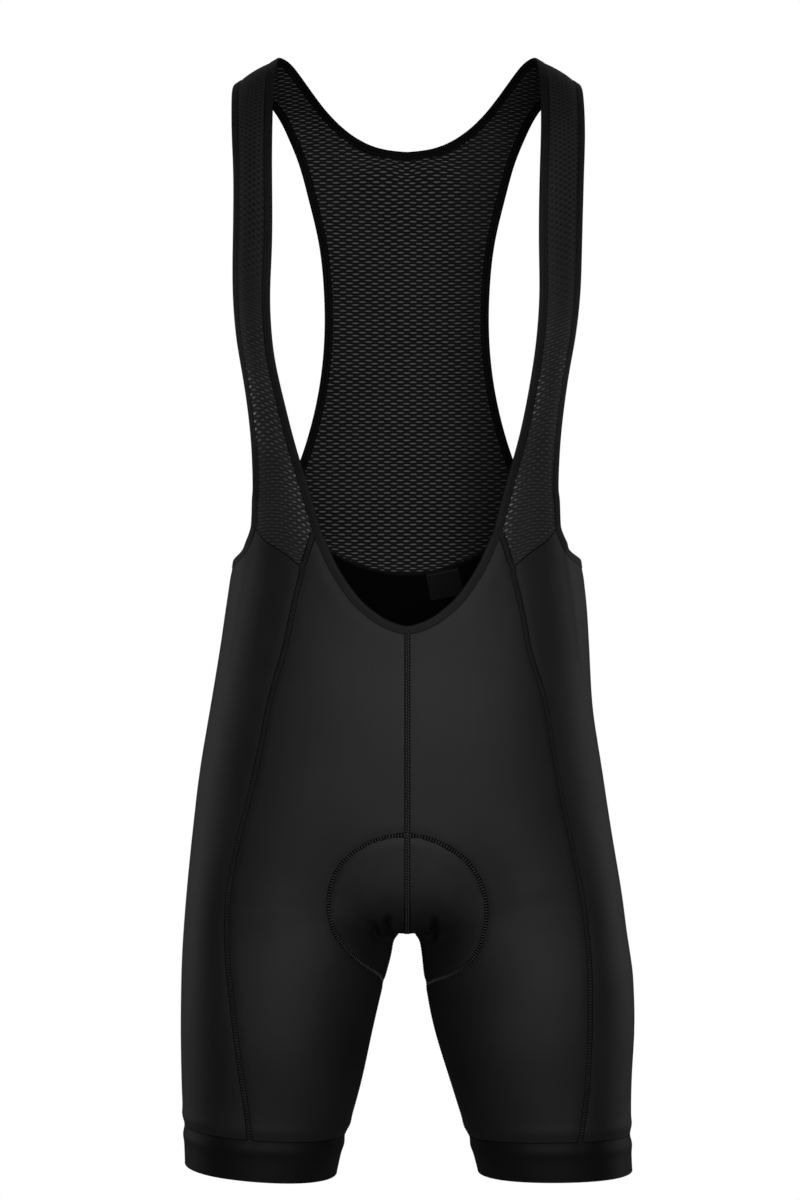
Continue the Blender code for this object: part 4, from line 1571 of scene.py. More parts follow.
@dataclass(frozen=True)
class Finish:
    """What every cloth finish has: greys of its dark and light parts, gloss, sheen and unevenness."""

    name: str
    dark: float
    light: float
    roughness: float
    specular: float
    bump: float
    sheen: float = 0.0
    anisotropic: float = 0.0
    patch: float = 0.02
    lint: float = 0.4

    def shade(self, nodes: Nodes, share: Made) -> Made:
        """Grey that lies share of the way from dark to light."""
        return nodes.blend(share, grey(self.dark), grey(self.light))

    def pattern(self, nodes: Nodes, tone: Made) -> tuple[Made, Made]:
        """Colour and height of the finish, from the tone of its slow unevenness."""
        return self.shade(nodes, nodes.step(tone, 0.2, 0.8)), tone

    def build(self) -> bpy.types.Material:
        """Makes the material.

        Returns:
            The material.
        """
        material = bpy.data.materials.new(self.name)
        material.use_nodes = True
        nodes = Nodes(material.node_tree)
        tone = nodes.group("Soft variation", Patch_size=self.patch, Lint=self.lint)
        colour, height = self.pattern(nodes, tone)
        nodes.set(
            material.node_tree.nodes["Principled BSDF"],
            Base_Color=colour,
            Roughness=self.roughness,
            Specular_IOR_Level=self.specular,
            Sheen_Weight=self.sheen,
            Sheen_Roughness=0.5,
            Anisotropic=self.anisotropic,
            Normal=nodes.add("ShaderNodeBump", Strength=1.0, Distance=self.bump, Height=height),
        )
        return material


@dataclass(frozen=True)
class KnitFinish(Finish):
    """Matt stretch knit of the panels, gripper bands and joins."""

    patch: float = 0.06
    lint: float = 0.35
    wale: float = 0.9
    course: float = 0.6
    rib: float = 0.5
    loop_share: float = 0.5

    def pattern(self, nodes: Nodes, tone: Made) -> tuple[Made, Made]:
        """Colour and height of the knitted loops.

        Args:
            nodes: Nodes of the material.
            tone: Unevenness of the dye.

        Returns:
            The colour and the height.
        """
        grain = nodes.group("Knit grain", Wale=self.wale, Course=self.course, Rib=self.rib)
        lit = nodes.step(tone + grain["Shade"] * self.loop_share, 0.1, 0.9)
        return self.shade(nodes, lit), grain["Height"]


@dataclass(frozen=True)
class MeshFinish(Finish):
    """Knitted mesh with staggered eyelets, whose grey is painted light read from a point attribute: the light
    or shade seen through them.
    """

    patch: float = 0.04
    lint: float = 0.3
    length: float = 0.27
    height: float = 0.34

    def pattern(self, nodes: Nodes, tone: Made) -> tuple[Made, Made]:
        """Colour and height of the yarns and eyelets.

        Args:
            nodes: Nodes of the material.
            tone: Unevenness of the dye.

        Returns:
            The colour and the height.
        """
        rows = nodes.group("Eyelet rows", Length=self.length, Height_of_eyelet=self.height)
        # The yarns are painted darker between the rows, as shade under each row.
        yarn = self.shade(nodes, nodes.step(tone, -0.1, 0.9) * rows["Yarn"])
        # The eyelets show painted light: the grey of the light or shade behind them.
        hole_painted_light = nodes.add("ShaderNodeAttribute", attribute_name=EYELET_PAINTED_LIGHT)["Color"]
        return nodes.blend(rows["Eyelet"], yarn, hole_painted_light), rows["Height"]


@dataclass(frozen=True)
class RibbonFinish(Finish):
    """Sewn ribbon of a flatlock seam, with lines of painted shade along its edges, where they are drawn in.

    The pattern's second axis runs from -1 to 1 between the ribbon's edges.
    """

    line: float = 0.22
    rung: float = 1.65
    rung_share: float = 0.3

    def pattern(self, nodes: Nodes, tone: Made) -> tuple[Made, Made]:
        """Colour and height of the ribbon's rungs and edges.

        Args:
            nodes: Nodes of the material.
            tone: Unevenness of the dye.

        Returns:
            The colour and the height.
        """
        place = nodes.place()
        # Painted shade along both edges of the ribbon.
        edge_painted_shade = nodes.step(abs(place["Y"]), 1.0 - 1.5 * self.line, 1.0 - 0.6 * self.line)
        rungs = nodes.wave(place["X"], self.rung)
        cloth = self.shade(nodes, tone * (1.0 - self.rung_share) + rungs * self.rung_share)
        return nodes.blend(edge_painted_shade, cloth, GROOVE_PAINTED_SHADE), rungs - edge_painted_shade


@dataclass(frozen=True)
class TapeFinish(KnitFinish):
    """Knit tape of a binding, with painted shade where it is drawn in at the cloth and where it folds over.

    The pattern's second axis is the distance from the cloth's edge.
    """

    patch: float = 0.02
    lint: float = 0.4
    wale: float = 1.1
    course: float = 0.55
    rib: float = 0.7
    loop_share: float = 0.4
    cloth_line: float = 1.0
    fold_line: float = 6.5
    fold_dark: float = 0.6
    soft: float = 0.45

    def pattern(self, nodes: Nodes, tone: Made) -> tuple[Made, Made]:
        """Colour and height of the tape's knit.

        Args:
            nodes: Nodes of the material.
            tone: Unevenness of the dye.

        Returns:
            The colour and the height.
        """
        cloth, height = super().pattern(nodes, tone)
        place = nodes.place()["Y"]
        # Painted shade at the cloth's edge and at the fold.
        cloth_painted_shade = nodes.step(place, self.cloth_line + self.soft, self.cloth_line - self.soft)
        fold_painted_shade = nodes.step(place, self.fold_line - self.soft, self.fold_line + self.soft)
        return nodes.blend(cloth_painted_shade.apply("MAXIMUM", fold_painted_shade * self.fold_dark), cloth, GROOVE_PAINTED_SHADE), height


@dataclass(frozen=True)
class ThreadFinish(Finish):
    """Textured polyester sewing thread."""

    patch: float = 0.004
    lint: float = 0.5


@dataclass(frozen=True)
class SatinFinish(Finish):
    """Woven satin of the label: fine floats across it."""

    patch: float = 0.01
    lint: float = 0.3
    float_pitch: float = 0.35
    float_share: float = 0.4

    def pattern(self, nodes: Nodes, tone: Made) -> tuple[Made, Made]:
        """Colour and height of the floats."""
        floats = nodes.wave(nodes.place()["Y"], self.float_pitch)
        return self.shade(nodes, tone * (1.0 - self.float_share) + floats * self.float_share), floats


FINISHES: dict[str, Finish] = {
    "knit": KnitFinish("Stretch knit", 0.0062, 0.0108, 0.6, 0.26, 0.07 * MM),
    "gripper": KnitFinish(
        "Gripper band", 0.0035, 0.006, 0.55, 0.12, 0.05 * MM, wale=0.7, course=0.5, rib=0.8
    ),
    # Near-black inner faces: painted shade inside the garment
    "inside": KnitFinish("Knit inside", 0.0006, 0.0012, 0.85, 0.03, 0.05 * MM),
    # Near-black: painted shade of drawn-in joints and of the waist seam's inner edge
    "joint": KnitFinish("Drawn-in joint", 0.0015, 0.003, 0.7, 0.05, 0.03 * MM),
    "strap_mesh": MeshFinish("Strap mesh", 0.011, 0.026, 0.7, 0.15, 0.15 * MM, 0.02, length=0.2, height=0.28),
    "back_mesh": MeshFinish("Back mesh", 0.0045, 0.0115, 0.75, 0.06, 0.2 * MM, length=0.25, height=0.22),
    "binding": TapeFinish("Binding tape", 0.0045, 0.0085, 0.65, 0.15, 0.06 * MM, 0.02),
    # Near-black inner faces of the tape: painted shade inside the garment
    "binding_inside": TapeFinish("Binding inside", 0.0008, 0.002, 0.75, 0.06, 0.06 * MM),
    "binding_thread": ThreadFinish("Binding thread", 0.010, 0.020, 0.5, 0.2, 0.05 * MM),
    "flatlock": RibbonFinish("Flatlock ribbon", 0.004, 0.010, 0.7, 0.1, 0.1 * MM, line=0.34),
    "pad_band": RibbonFinish("Pad band", 0.001, 0.002, 0.75, 0.06, 0.1 * MM, line=0.28),
    "pad_thread": ThreadFinish("Pad thread", 0.025, 0.045, 0.5, 0.25, 0.05 * MM),
    "thread": ThreadFinish("Sewing thread", 0.075, 0.12, 0.5, 0.3, 0.05 * MM),
    "satin": SatinFinish("Label satin", 0.0018, 0.004, 0.5, 0.04, 0.03 * MM, anisotropic=0.4),
}


@dataclass
class Kit:
    """What every sub-assembly is made with: finishes and the stitching tree."""

    finishes: dict[str, bpy.types.Material]
    tree: bpy.types.NodeTree

    @classmethod
    def build(cls) -> "Kit":
        """Makes the shared groups, every material and the stitching tree.
        """
        for make in (soft_variation, knit_grain, eyelet_rows):
            make()
        return cls({name: finish.build() for name, finish in FINISHES.items()}, threads_tree())


# ---------------------------------------- sub-assemblies


class Shell(NamedTuple):
    """A cut piece of cloth: the node it stands for, its wall, slot and cut size in metres."""

    node: str
    wall: float
    slot: str
    width: float
    length: float
    area: float


SHELLS = table(
    Shell,
    ("front_panel_left", 1.2 * MM, "knit", 0.20, 0.52, 0.0672),
    ("front_panel_right", 1.2 * MM, "knit", 0.20, 0.52, 0.0654),
    ("side_panel_left", 1.2 * MM, "knit", 0.21, 0.52, 0.0854),
    ("side_panel_right", 1.2 * MM, "knit", 0.21, 0.52, 0.0871),
    ("seat_panel_left", 1.2 * MM, "knit", 0.23, 0.54, 0.0816),
    ("seat_panel_right", 1.2 * MM, "knit", 0.23, 0.54, 0.0818),
    ("gripper_left", 1.4 * MM, "gripper", 0.45, 0.032, 0.0140),
    ("gripper_right", 1.4 * MM, "gripper", 0.45, 0.034, 0.0153),
    ("strap_left", 1.0 * MM, "mesh_knit", 0.05, 0.48, 0.0140),
    ("strap_right", 1.0 * MM, "mesh_knit", 0.05, 0.48, 0.0137),
    ("back_mesh", 1.0 * MM, "mesh_knit", 0.29, 0.48, 0.0640),
)


class PaintedGlow(NamedTuple):
    """Soft patch of painted light on a strap's eyelets, standing for light from behind that shines through.

    Across runs from 0 at the neck to 1 at the armhole, and heights are in millimetres.
    """

    side: Side
    top: float
    bottom: float
    across: float
    spread: float
    grey: float
    soft: float = 12.0

    def at(self, across: np.ndarray, z: np.ndarray) -> np.ndarray:
        """Painted light that the patch adds at each place.

        Args:
            across: Share of the way across the strap.
            z: Height.

        Returns:
            The painted grey of each place.
        """
        above = np.clip((self.top - z) / self.soft + 0.5, 0.0, 1.0)
        below = np.clip((z - self.bottom) / self.soft + 0.5, 0.0, 1.0)
        return self.grey * above * below * np.exp(-(((across - self.across) / self.spread) ** 2))


# Painted light and shade seen through the eyelets: the back's grey over x and the straps' over height
BACK_EYELET_PAINTED_LIGHT = ((-110.0, 0.085), (-60.0, 0.10), (0.0, 0.115), (35.0, 0.10), (60.0, 0.065), (120.0, 0.05))
STRAP_EYELET_PAINTED_LIGHT = ((-400.0, 0.032), (-230.0, 0.036), (-200.0, 0.012), (-140.0, 0.004), (10.0, 0.004))
PAINTED_GLOWS = table(
    PaintedGlow,
    (Side.RIGHT, -258.0, -312.0, 1.0, 0.12, 0.30),
    (Side.RIGHT, -262.0, -325.0, 0.5, 0.9, 0.030),
    (Side.RIGHT, -332.0, -398.0, 0.0, 0.26, 0.09, 20.0),
    (Side.LEFT, -245.0, -262.0, 1.0, 0.25, 0.05),
    (Side.LEFT, -262.0, -296.0, 0.0, 0.2, 0.14),
    (Side.LEFT, -344.0, -402.0, 0.0, 0.13, 0.14, 20.0),
)


@dataclass
class ClothPieces:
    """The cut pieces of the garment as thin shells."""

    cloth: Cloth
    kit: Kit
    row_height: float = 6.0

    def build(self) -> None:
        for shell in SHELLS:
            # Inner faces of the panels and grippers take the near-black inside finish, painted shade.
            finish, inside = shell.slot, "inside"
            if shell.slot == "mesh_knit":
                finish = inside = "back_mesh" if shell.node == "back_mesh" else "strap_mesh"
            mesh = self.mesh(shell)
            if shell.slot == "mesh_knit":
                self.light_eyelets(mesh, shell.node)
            finishes = self.kit.finishes
            obj = link("cloth_" + shell.node, mesh, shell.slot, finishes[finish], finishes[inside])
            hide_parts(shell.node)
            log.info("%s: %d faces", obj.name, len(mesh.polygons))

    def mesh(self, shell: Shell) -> bpy.types.Mesh:
        """The piece as a thin closed shell of the fine surface.

        Args:
            shell: The piece.

        Returns:
            Its mesh.
        """
        mine = self.cloth.owner == self.cloth.pieces.index(shell.node)
        used, corners = np.unique(self.cloth.quads[mine], return_inverse=True)
        outer = self.cloth.points[used]
        inner = outer - self.cloth.normals[used] * shell.wall
        return thickened(shell.node, outer, inner, corners.reshape(-1, 4), self.cloth.grain[mine])

    def light_eyelets(self, mesh: bpy.types.Mesh, node: str) -> None:
        """Writes the painted light of the eyelets at each point: the grey of the light or shade seen through
        them.

        Args:
            mesh: Mesh of the piece.
            node: Name of the solid.
        """
        x, _, z = read(mesh.vertices, "co", 3).T / MM
        painted_light = np.interp(x, *zip(*BACK_EYELET_PAINTED_LIGHT))
        if node.startswith("strap"):
            painted_light = np.interp(z, *zip(*STRAP_EYELET_PAINTED_LIGHT))
            x = np.abs(x)
            _, rows = np.unique(np.round(z / self.row_height), return_inverse=True)
            low, high = np.full(rows.max() + 1, np.inf), np.zeros(rows.max() + 1)
            np.minimum.at(low, rows, x)
            np.maximum.at(high, rows, x)
            across = (x - low[rows]) / np.maximum(high - low, 1.0)[rows]
            # Patches of painted light where light from behind shines through the strap.
            painted_light += sum(glow.at(across, z) for glow in PAINTED_GLOWS if node.endswith(glow.side.tag))
        colours = np.stack([painted_light, painted_light, painted_light, np.ones(len(painted_light))], axis=1)
        layer = mesh.color_attributes.new(EYELET_PAINTED_LIGHT, "FLOAT_COLOR", "POINT")
        layer.data.foreach_set("color", colours.ravel())


class FlatSeam(NamedTuple):
    """One kind of flat seam: half of its ribbon's width, its stitch, thread and columns of threads."""

    half_width: float
    stitch: StitchRow
    thread: str
    columns: tuple[float, ...]


FINE = FlatSeam(2.9 * MM, StitchRow(2.4 * MM, 1.3 * MM, 0.6 * MM, 0.45 * MM), "thread", (-0.9 * MM, 0.9 * MM))
LONG = FlatSeam(
    2.9 * MM,
    StitchRow(2.4 * MM, 1.6 * MM, 0.5 * MM, 0.45 * MM, math.radians(24.0)),
    "pad_thread",
    (-1.2 * MM, 0.0, 1.2 * MM),
)
PLAIN = FlatSeam(0.6 * MM, StitchRow(2.2 * MM, 1.2 * MM, 0.3 * MM, 0.3 * MM), "thread", ())


@dataclass
class FlatlockSeams:
    """Flat seams between the panels: a low ribbon with columns of threads on it."""

    sewing: Sewing
    kit: Kit
    crown: float = 0.4 * MM
    step: float = 2.5 * MM
    thread_step: float = 1.0 * MM
    thread_lift: float = 0.05 * MM
    # Section of the ribbon, from its crown to its edge and underside: half widths, crowns and millimetres
    section: tuple = (
        (0.0, 0.8, 0.0), (0.4, 1.0, 0.0), (0.82, 0.35, 0.0), (1.0, 0.0, -0.05), (0.7, 0.0, -0.35)
    )
    inside_drop: float = 1.3 * MM
    inside_profile: tuple = ((-1.3 * MM, 0.0), (0.0, 0.3 * MM), (1.3 * MM, 0.0), (0.0, -0.5 * MM))

    def profile(self, half: float) -> list[tuple[float, float]]:
        """Section of the ribbon, round from its crown over one edge to the other.

        Args:
            half: Half of the ribbon's width.

        Returns:
            Places across and up.
        """
        crown = self.crown * min(half / FINE.half_width, 1.0)
        right = [(across * half, crowns * crown + height * MM) for across, crowns, height in self.section]
        return right + [(-across, height) for across, height in reversed(right[1:])]

    def build(self) -> None:
        """Sews every flat seam, and the turned edge of the waist seam on the inner side, near-black as
        painted shade.
        """
        for name, pairs, kind in self.plan():
            paths = self.sewing.seam(*pairs)
            # Seams without thread columns are near-black strips: painted shade of the drawn-in seam.
            finish = self.kit.finishes["flatlock" if kind.columns else "joint"]
            for number, path in enumerate(paths):
                section = self.profile(kind.half_width)
                mesh = sweep(name, path.resampled(self.step), section, kind.half_width)
                link(f"seam_{name}_{number}", mesh, "knit", finish)
            rows = []
            for number, across in enumerate(kind.columns):
                start = kind.stitch.pitch / 2.0 * (number % 2)
                lines = [path.resampled(self.thread_step, start) for path in paths]
                rows += [line.moved(across, self.crown + self.thread_lift) for line in lines]
            if rows:
                thread = self.kit.finishes[kind.thread]
                kind.stitch.build("stitches_" + name, rows, self.kit.tree, thread, "knit")
            log.info("seam %s: %d lines", name, len(paths))
        # A near-black strip under the waist seam: painted shade inside the seat.
        for tag in TAGS:
            for path in self.sewing.seam(("back_mesh", "seat_panel_" + tag)):
                under = path.resampled(self.step).moved(0.0, -self.inside_drop)
                mesh = sweep("waist_inside", under, self.inside_profile)
                link("waist_inside_" + tag, mesh, "knit", self.kit.finishes["joint"])

    def plan(self) -> list[tuple[str, list[tuple[str, str]], FlatSeam]]:
        """Name, joined pieces and kind of each seam.

        Returns:
            One row for each seam.
        """
        rows = [("centre_front", [("front_panel_left", "front_panel_right")], FINE)]
        rows.append(("centre_back", [("seat_panel_left", "seat_panel_right")], FINE))
        for tag in TAGS:
            front, middle, seat = (panel + tag for panel in PANELS)
            strap = "strap_" + tag
            rows += [
                ("princess_" + tag, [(front, middle), (strap, front)], LONG),
                ("side_back_" + tag, [(middle, seat)], LONG),
                ("inseam_" + tag, [(front, seat)], FINE),
                ("strap_outer_" + tag, [(strap, middle)], PLAIN),
                ("shoulder_" + tag, [(strap, "back_mesh")], PLAIN),
            ]
        rows.append(("waist", [("back_mesh", "seat_panel_" + tag) for tag in TAGS], FINE))
        return rows


# Outline of the pad's stitching on the front, from the centre down to the gap between the legs
PAD_FRONT = {
    Side.RIGHT: table(
        Edge,
        (0.0, -632.0), (30.0, -638.0), (54.0, -657.0), (63.6, -684.0),
        (60.0, -710.0), (47.6, -729.5), (35.0, -742.5), (22.5, -755.0),
    ),
    Side.LEFT: table(
        Edge,
        (0.0, -632.0), (27.0, -639.0), (51.0, -657.0), (63.0, -684.0),
        (62.6, -710.0), (54.6, -732.0), (41.0, -746.5), (25.0, -756.0),
    ),
}
# The same on the seat, from the gap up to the centre
PAD_BACK = table(
    Edge,
    (30.0, -748.0), (57.0, -720.0), (74.0, -684.0), (76.0, -646.0),
    (61.0, -611.0), (32.0, -592.0), (0.0, -588.0),
)
# Soft creases that the crotch, the seat and the sides take when worn: depth, width, whether behind, line
FOLDS = table(
    Fold,
    (4.5, 3.0, False, table(Edge, (-14.5, -698.0), (-18.0, -706.0), (-16.0, -714.0), (-11.0, -717.0))),
    (2.4, 4.0, False, table(Edge, (-29.0, -702.0), (-26.0, -716.5), (-21.0, -730.0))),
    (4.5, 3.0, False, table(Edge, (21.5, -699.0), (22.5, -710.5), (20.0, -721.5), (15.0, -717.0))),
    (2.4, 3.0, True, table(Edge, (-20.0, -690.0), (-17.0, -704.0), (-13.0, -716.0))),
    (2.6, 2.8, True, table(Edge, (24.0, -686.0), (20.0, -702.0), (15.0, -716.0))),
    (2.0, 9.0, True, table(Edge, (-120.0, -716.0), (-86.0, -733.0), (-48.0, -744.0))),
    (2.3, 8.0, True, table(Edge, (112.0, -722.0), (82.0, -735.0), (46.0, -741.0))),
    (0.9, 10.0, True, table(Edge, (-132.0, -470.0), (-96.0, -486.0), (-62.0, -492.0))),
    (1.0, 9.0, True, table(Edge, (128.0, -476.0), (90.0, -489.0), (50.0, -493.0))),
)


@dataclass
class PadRing:
    """The pad under the crotch, seen only as its ring of stitching and a low swelling inside it."""

    cloth: Cloth
    kit: Kit
    swelling: float = 0.9 * MM
    swelling_reach: float = 6.0 * MM
    groove: float = 0.9 * MM
    groove_reach: float = 3.2 * MM
    crossing_z: float = -764.0
    half_width: float = 2.9 * MM
    lift: float = 0.4 * MM
    steps: int = 8
    step: float = 1.5 * MM
    normal_reach: float = 0.5 * MM
    section: tuple = ((-1.0, -0.1), (-0.55, 0.3), (0.55, 0.3), (1.0, -0.1), (0.6, -0.6), (-0.6, -0.6))
    rung: StitchRow = StitchRow(2.4 * MM, 4.4 * MM, 1.1 * MM, 0.5 * MM, math.radians(90.0), 0.04)

    def outline(self, side: Side) -> list[tuple[Vector, Vector | None]]:
        """Rough places of one half of the ring, from front to back, and the way from each to the cloth.

        Args:
            side: The half.

        Returns:
            Pairs of a place and a direction.
        """
        gap = level_at(LEVELS, self.crossing_z)
        inner = side.of(gap.inner_left, gap.inner_right)
        found = []
        crossing = [Edge(inner, self.crossing_z)]
        for edges, facing in ((PAD_FRONT[side], -1.0), (crossing, 0.0), (PAD_BACK, 1.0)):
            for edge in edges:
                place = Vector((side.value * edge.x * MM, facing, edge.z * MM))
                found.append((place, Vector((0.0, -facing, 0.0)) if facing else None))
        return found

    def ring(self) -> Path:
        """The closed ring on the cloth.

        Returns:
            The line.
        """
        quads = self.cloth.quads.tolist()
        tree = BVHTree.FromPolygons(self.cloth.points.tolist(), quads)
        places = []
        for place, way in self.outline(Side.LEFT) + self.outline(Side.RIGHT)[::-1][1:-1]:
            found = tree.ray_cast(place, way) if way else tree.find_nearest(place)
            places.append(np.array(found[0]))
        points, normals = [], []
        for number in range(len(places)):
            before, start, end, after = (places[(number + k) % len(places)] for k in range(-1, 3))
            for share in np.arange(self.steps) / self.steps:
                place = between(start, end, (end - before) / 2.0, (after - start) / 2.0, share)
                spot, _, face, _ = tree.find_nearest(Vector(place))
                corners = quads[face]
                away = np.linalg.norm(self.cloth.points[corners] - np.array(spot), axis=1, keepdims=True)
                points.append(np.array(spot))
                normals.append((self.cloth.normals[corners] / (away + self.normal_reach)).sum(axis=0))
        points, normals = np.array(points), unit(np.array(normals))
        along = np.roll(points, -1, axis=0) - np.roll(points, 1, axis=0)
        return Path(points, normals, unit(np.cross(along, normals)), True).resampled(self.step)

    def inside(self) -> np.ndarray:
        """Whether each point of the cloth lies within the ring.

        Returns:
            One truth value for each point.
        """
        x, y, z = self.cloth.points.T / MM
        found = np.zeros(len(x), dtype=bool)
        for rear in (False, True):
            left, right = (PAD_BACK, PAD_BACK) if rear else (PAD_FRONT[Side.LEFT], PAD_FRONT[Side.RIGHT])
            corners = list(left) + [Edge(-edge.x, edge.z) for edge in reversed(right)]
            within = np.zeros(len(x), dtype=bool)
            for start, end in zip(corners, corners[1:] + corners[:1]):
                if start.z != end.z:
                    crossing = start.x + (z - start.z) * (end.x - start.x) / (end.z - start.z)
                    within ^= ((start.z > z) != (end.z > z)) & (x < crossing)
            found |= within & ((y > 0.0) == rear)
        return found

    def swell(self) -> None:
        """Raises the cloth over the pad and draws it in along the ring."""
        away = distances(self.cloth.points, self.ring().points)
        raised = np.where(self.inside(), ease_all(away / self.swelling_reach), 0.0) * self.swelling
        raised *= np.abs(self.cloth.normals[:, 1])
        self.cloth.push(raised - self.groove * np.exp(-((away / self.groove_reach) ** 2)))

    def build(self) -> None:
        """Sews the ring: a low band with rungs across it."""
        ring, finishes = self.ring(), self.kit.finishes
        profile = [(across * self.half_width, height * MM) for across, height in self.section]
        link("pad_ring", sweep("pad_ring", ring, profile, self.half_width), "knit", finishes["pad_band"])
        line = [ring.moved(0.0, self.lift)]
        self.rung.build("pad_ring_rungs", line, self.kit.tree, finishes["pad_thread"], "knit")
        log.info("pad ring: %.3f m", ring.lengths()[-1])


@dataclass
class Label:
    """Small woven label that hangs inside from the waist seam, left bare."""

    form: ShortsForm
    kit: Kit
    width: float = 29.0
    height: float = 24.0
    wall: float = 0.6
    middle: Edge = Edge(33.0, -429.0)
    tilt: float = math.radians(11.0)
    off_cloth: float = 1.6
    lean: float = 2.0
    ripple: float = 0.25
    ripple_rate: float = 5.0
    columns: int = 28
    rows: int = 20
    small_turn: float = 0.004
    stitch_steps: int = 40
    stitch_inset: Edge = Edge(1.5, 2.0)
    stitch_lift: float = 0.1
    stitch: StitchRow = StitchRow(1.8 * MM, 1.3 * MM, 0.35 * MM, 0.3 * MM)

    def place(self, across: float, down: float) -> tuple[Vector, Vector]:
        """Point of the label's side towards the cloth and its direction away from the cloth.

        Args:
            across: Distance from its middle towards the wearer's left.
            down: Distance from its middle downwards.

        Returns:
            The point in millimetres and the direction.
        """
        cosine, sine = math.cos(self.tilt), math.sin(self.tilt)
        x, z = self.middle.x + across * cosine + down * sine, self.middle.z + across * sine - down * cosine
        u = self.form.turn_at(Side.LEFT, x, z, behind=True)
        point = self.form.point(Side.LEFT, u, z)
        turn = self.small_turn
        along = self.form.point(Side.LEFT, u - turn, z) - self.form.point(Side.LEFT, u + turn, z)
        up = self.form.point(Side.LEFT, u, z + 1.0) - self.form.point(Side.LEFT, u, z - 1.0)
        inward = -up.cross(along).normalized()
        hang = down / self.height + 0.5
        depth = self.off_cloth + self.lean * hang**2
        depth += self.ripple * hang * math.sin(across / self.width * self.ripple_rate)
        return point + inward * depth, inward

    def build(self) -> None:
        """Makes the label and the stitches along its top."""
        near, far, grain = [], [], []
        for row in range(self.rows + 1):
            for column in range(self.columns + 1):
                across = (column / self.columns - 0.5) * self.width
                down = (row / self.rows - 0.5) * self.height
                point, inward = self.place(across, down)
                near.append(point * MM)
                far.append((point + inward * self.wall) * MM)
                grain.append((across, down))
        wide = self.columns + 1
        first = np.arange(len(near)).reshape(-1, wide)[:-1, :-1].ravel()
        quads = np.stack([first, first + 1, first + wide + 1, first + wide], axis=1)
        mesh = thickened("label", np.array(near), np.array(far), quads, np.array(grain)[quads])
        label = link("woven_label", mesh, "satin", self.kit.finishes["satin"])
        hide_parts("label")
        points, normals = [], []
        for step in range(self.stitch_steps + 1):
            across = (step / self.stitch_steps - 0.5) * (self.width - 2.0 * self.stitch_inset.x)
            point, inward = self.place(across, self.stitch_inset.z - 0.5 * self.height)
            points.append((point + inward * (self.wall + self.stitch_lift)) * MM)
            normals.append(inward)
        points, normals = np.array(points), np.array(normals)
        row = Path(points, normals, unit(np.cross(np.gradient(points, axis=0), normals)), False)
        self.stitch.build("stitches_label", [row], self.kit.tree, self.kit.finishes["thread"], "satin")


@dataclass
class Bindings:
    """Folded tapes round the neck and armholes, the turned edges of the hems, and the gripper joints,
    near-black as painted shade.
    """

    sewing: Sewing
    kit: Kit
    half: float = 1.0 * MM
    cloth_half: float = 0.6 * MM
    step: float = 2.5 * MM
    rows_at: tuple[float, ...] = (1.7 * MM, 5.3 * MM)
    row_lift: float = 0.95
    stitch: StitchRow = StitchRow(2.3 * MM, 1.9 * MM, 0.4 * MM, 0.35 * MM)
    # Half of the tape's section, from the cloth's edge out to the fold: millimetres and halves of its wall
    tape: tuple = (
        (-0.4, 0.45), (-0.1, 0.92), (0.9, 1.0), (1.7, 0.8), (2.6, 1.04),
        (4.4, 1.04), (5.3, 0.8), (6.1, 0.95), (6.75, 0.62), (7.05, 0.0),
    )
    joint: tuple = ((-0.9 * MM, -0.1 * MM), (0.0, 0.22 * MM), (0.9 * MM, -0.1 * MM), (0.0, -0.5 * MM))
    hem_half: Edge = Edge(0.9 * MM, 0.8 * MM)
    hem_sides: int = 8
    hem_step: float = 3.0 * MM
    hem_inset: Edge = Edge(-0.5 * MM, -0.65 * MM)

    def build(self) -> None:
        """Binds each rim and sews each gripper joint."""
        for rim in self.sewing.rims():
            side = Side.LEFT if rim.points[:, 0].mean() > 0.0 else Side.RIGHT
            across_middle = rim.points[:, 0].min() < 0.0 < rim.points[:, 0].max()
            if self.sewing.at_hem(rim):
                self.hem(rim, side)
            else:
                self.bind(rim, "binding_neck" if across_middle else "binding_armhole_" + side.tag)
        for tag in TAGS:
            edges = []
            for panel in PANELS:
                edges += self.sewing.joins[frozenset((panel + tag, "gripper_" + tag))]
            cloth = self.sewing.cloth
            # A near-black strip on each gripper joint: painted shade of the drawn-in joint.
            mesh = sweep("joint", cloth.path(*cloth.chains(edges)[0]).resampled(self.step), self.joint)
            link("gripper_joint_" + tag, mesh, "gripper", self.kit.finishes["joint"])

    def bind(self, rim: Path, node: str) -> None:
        """Folded tape over a rim, with two rows of stitches on both faces.

        Args:
            rim: The edge that it wraps.
            node: Name of the solid.
        """
        path = rim.resampled(self.step).moved(0.0, -self.cloth_half)
        top = [(across * MM, height * self.half) for across, height in self.tape]
        mesh = sweep(node, path, top + [(across, -height) for across, height in reversed(top[:-1])])
        finishes = self.kit.finishes
        obj = link("tape_" + node, mesh, "binding", finishes["binding"], finishes["binding_inside"])
        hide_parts(node)
        lift = self.half * self.row_lift
        rows = [path.moved(across, height) for height in (lift, -lift) for across in self.rows_at]
        self.stitch.build("stitches_" + node, rows, self.kit.tree, finishes["binding_thread"], "binding")
        log.info("%s: %.3f m", node, path.lengths()[-1])

    def hem(self, rim: Path, side: Side) -> None:
        """Small rounded edge along a leg's hem.

        Args:
            rim: The edge of the leg.
            side: The half.
        """
        turns = [2.0 * math.pi * step / self.hem_sides for step in range(self.hem_sides)]
        section = [(self.hem_half.x * math.cos(turn), self.hem_half.z * math.sin(turn)) for turn in turns]
        path = rim.resampled(self.hem_step).moved(*self.hem_inset)
        link("hem_" + side.tag, sweep("hem", path, section), "gripper", self.kit.finishes["gripper"])


class Softbox(NamedTuple):
    """A rectangular light: its name, place, the point it faces, its size and power."""

    name: str
    place: tuple[float, float, float]
    aim: tuple[float, float, float]
    size: tuple[float, float]
    power: float


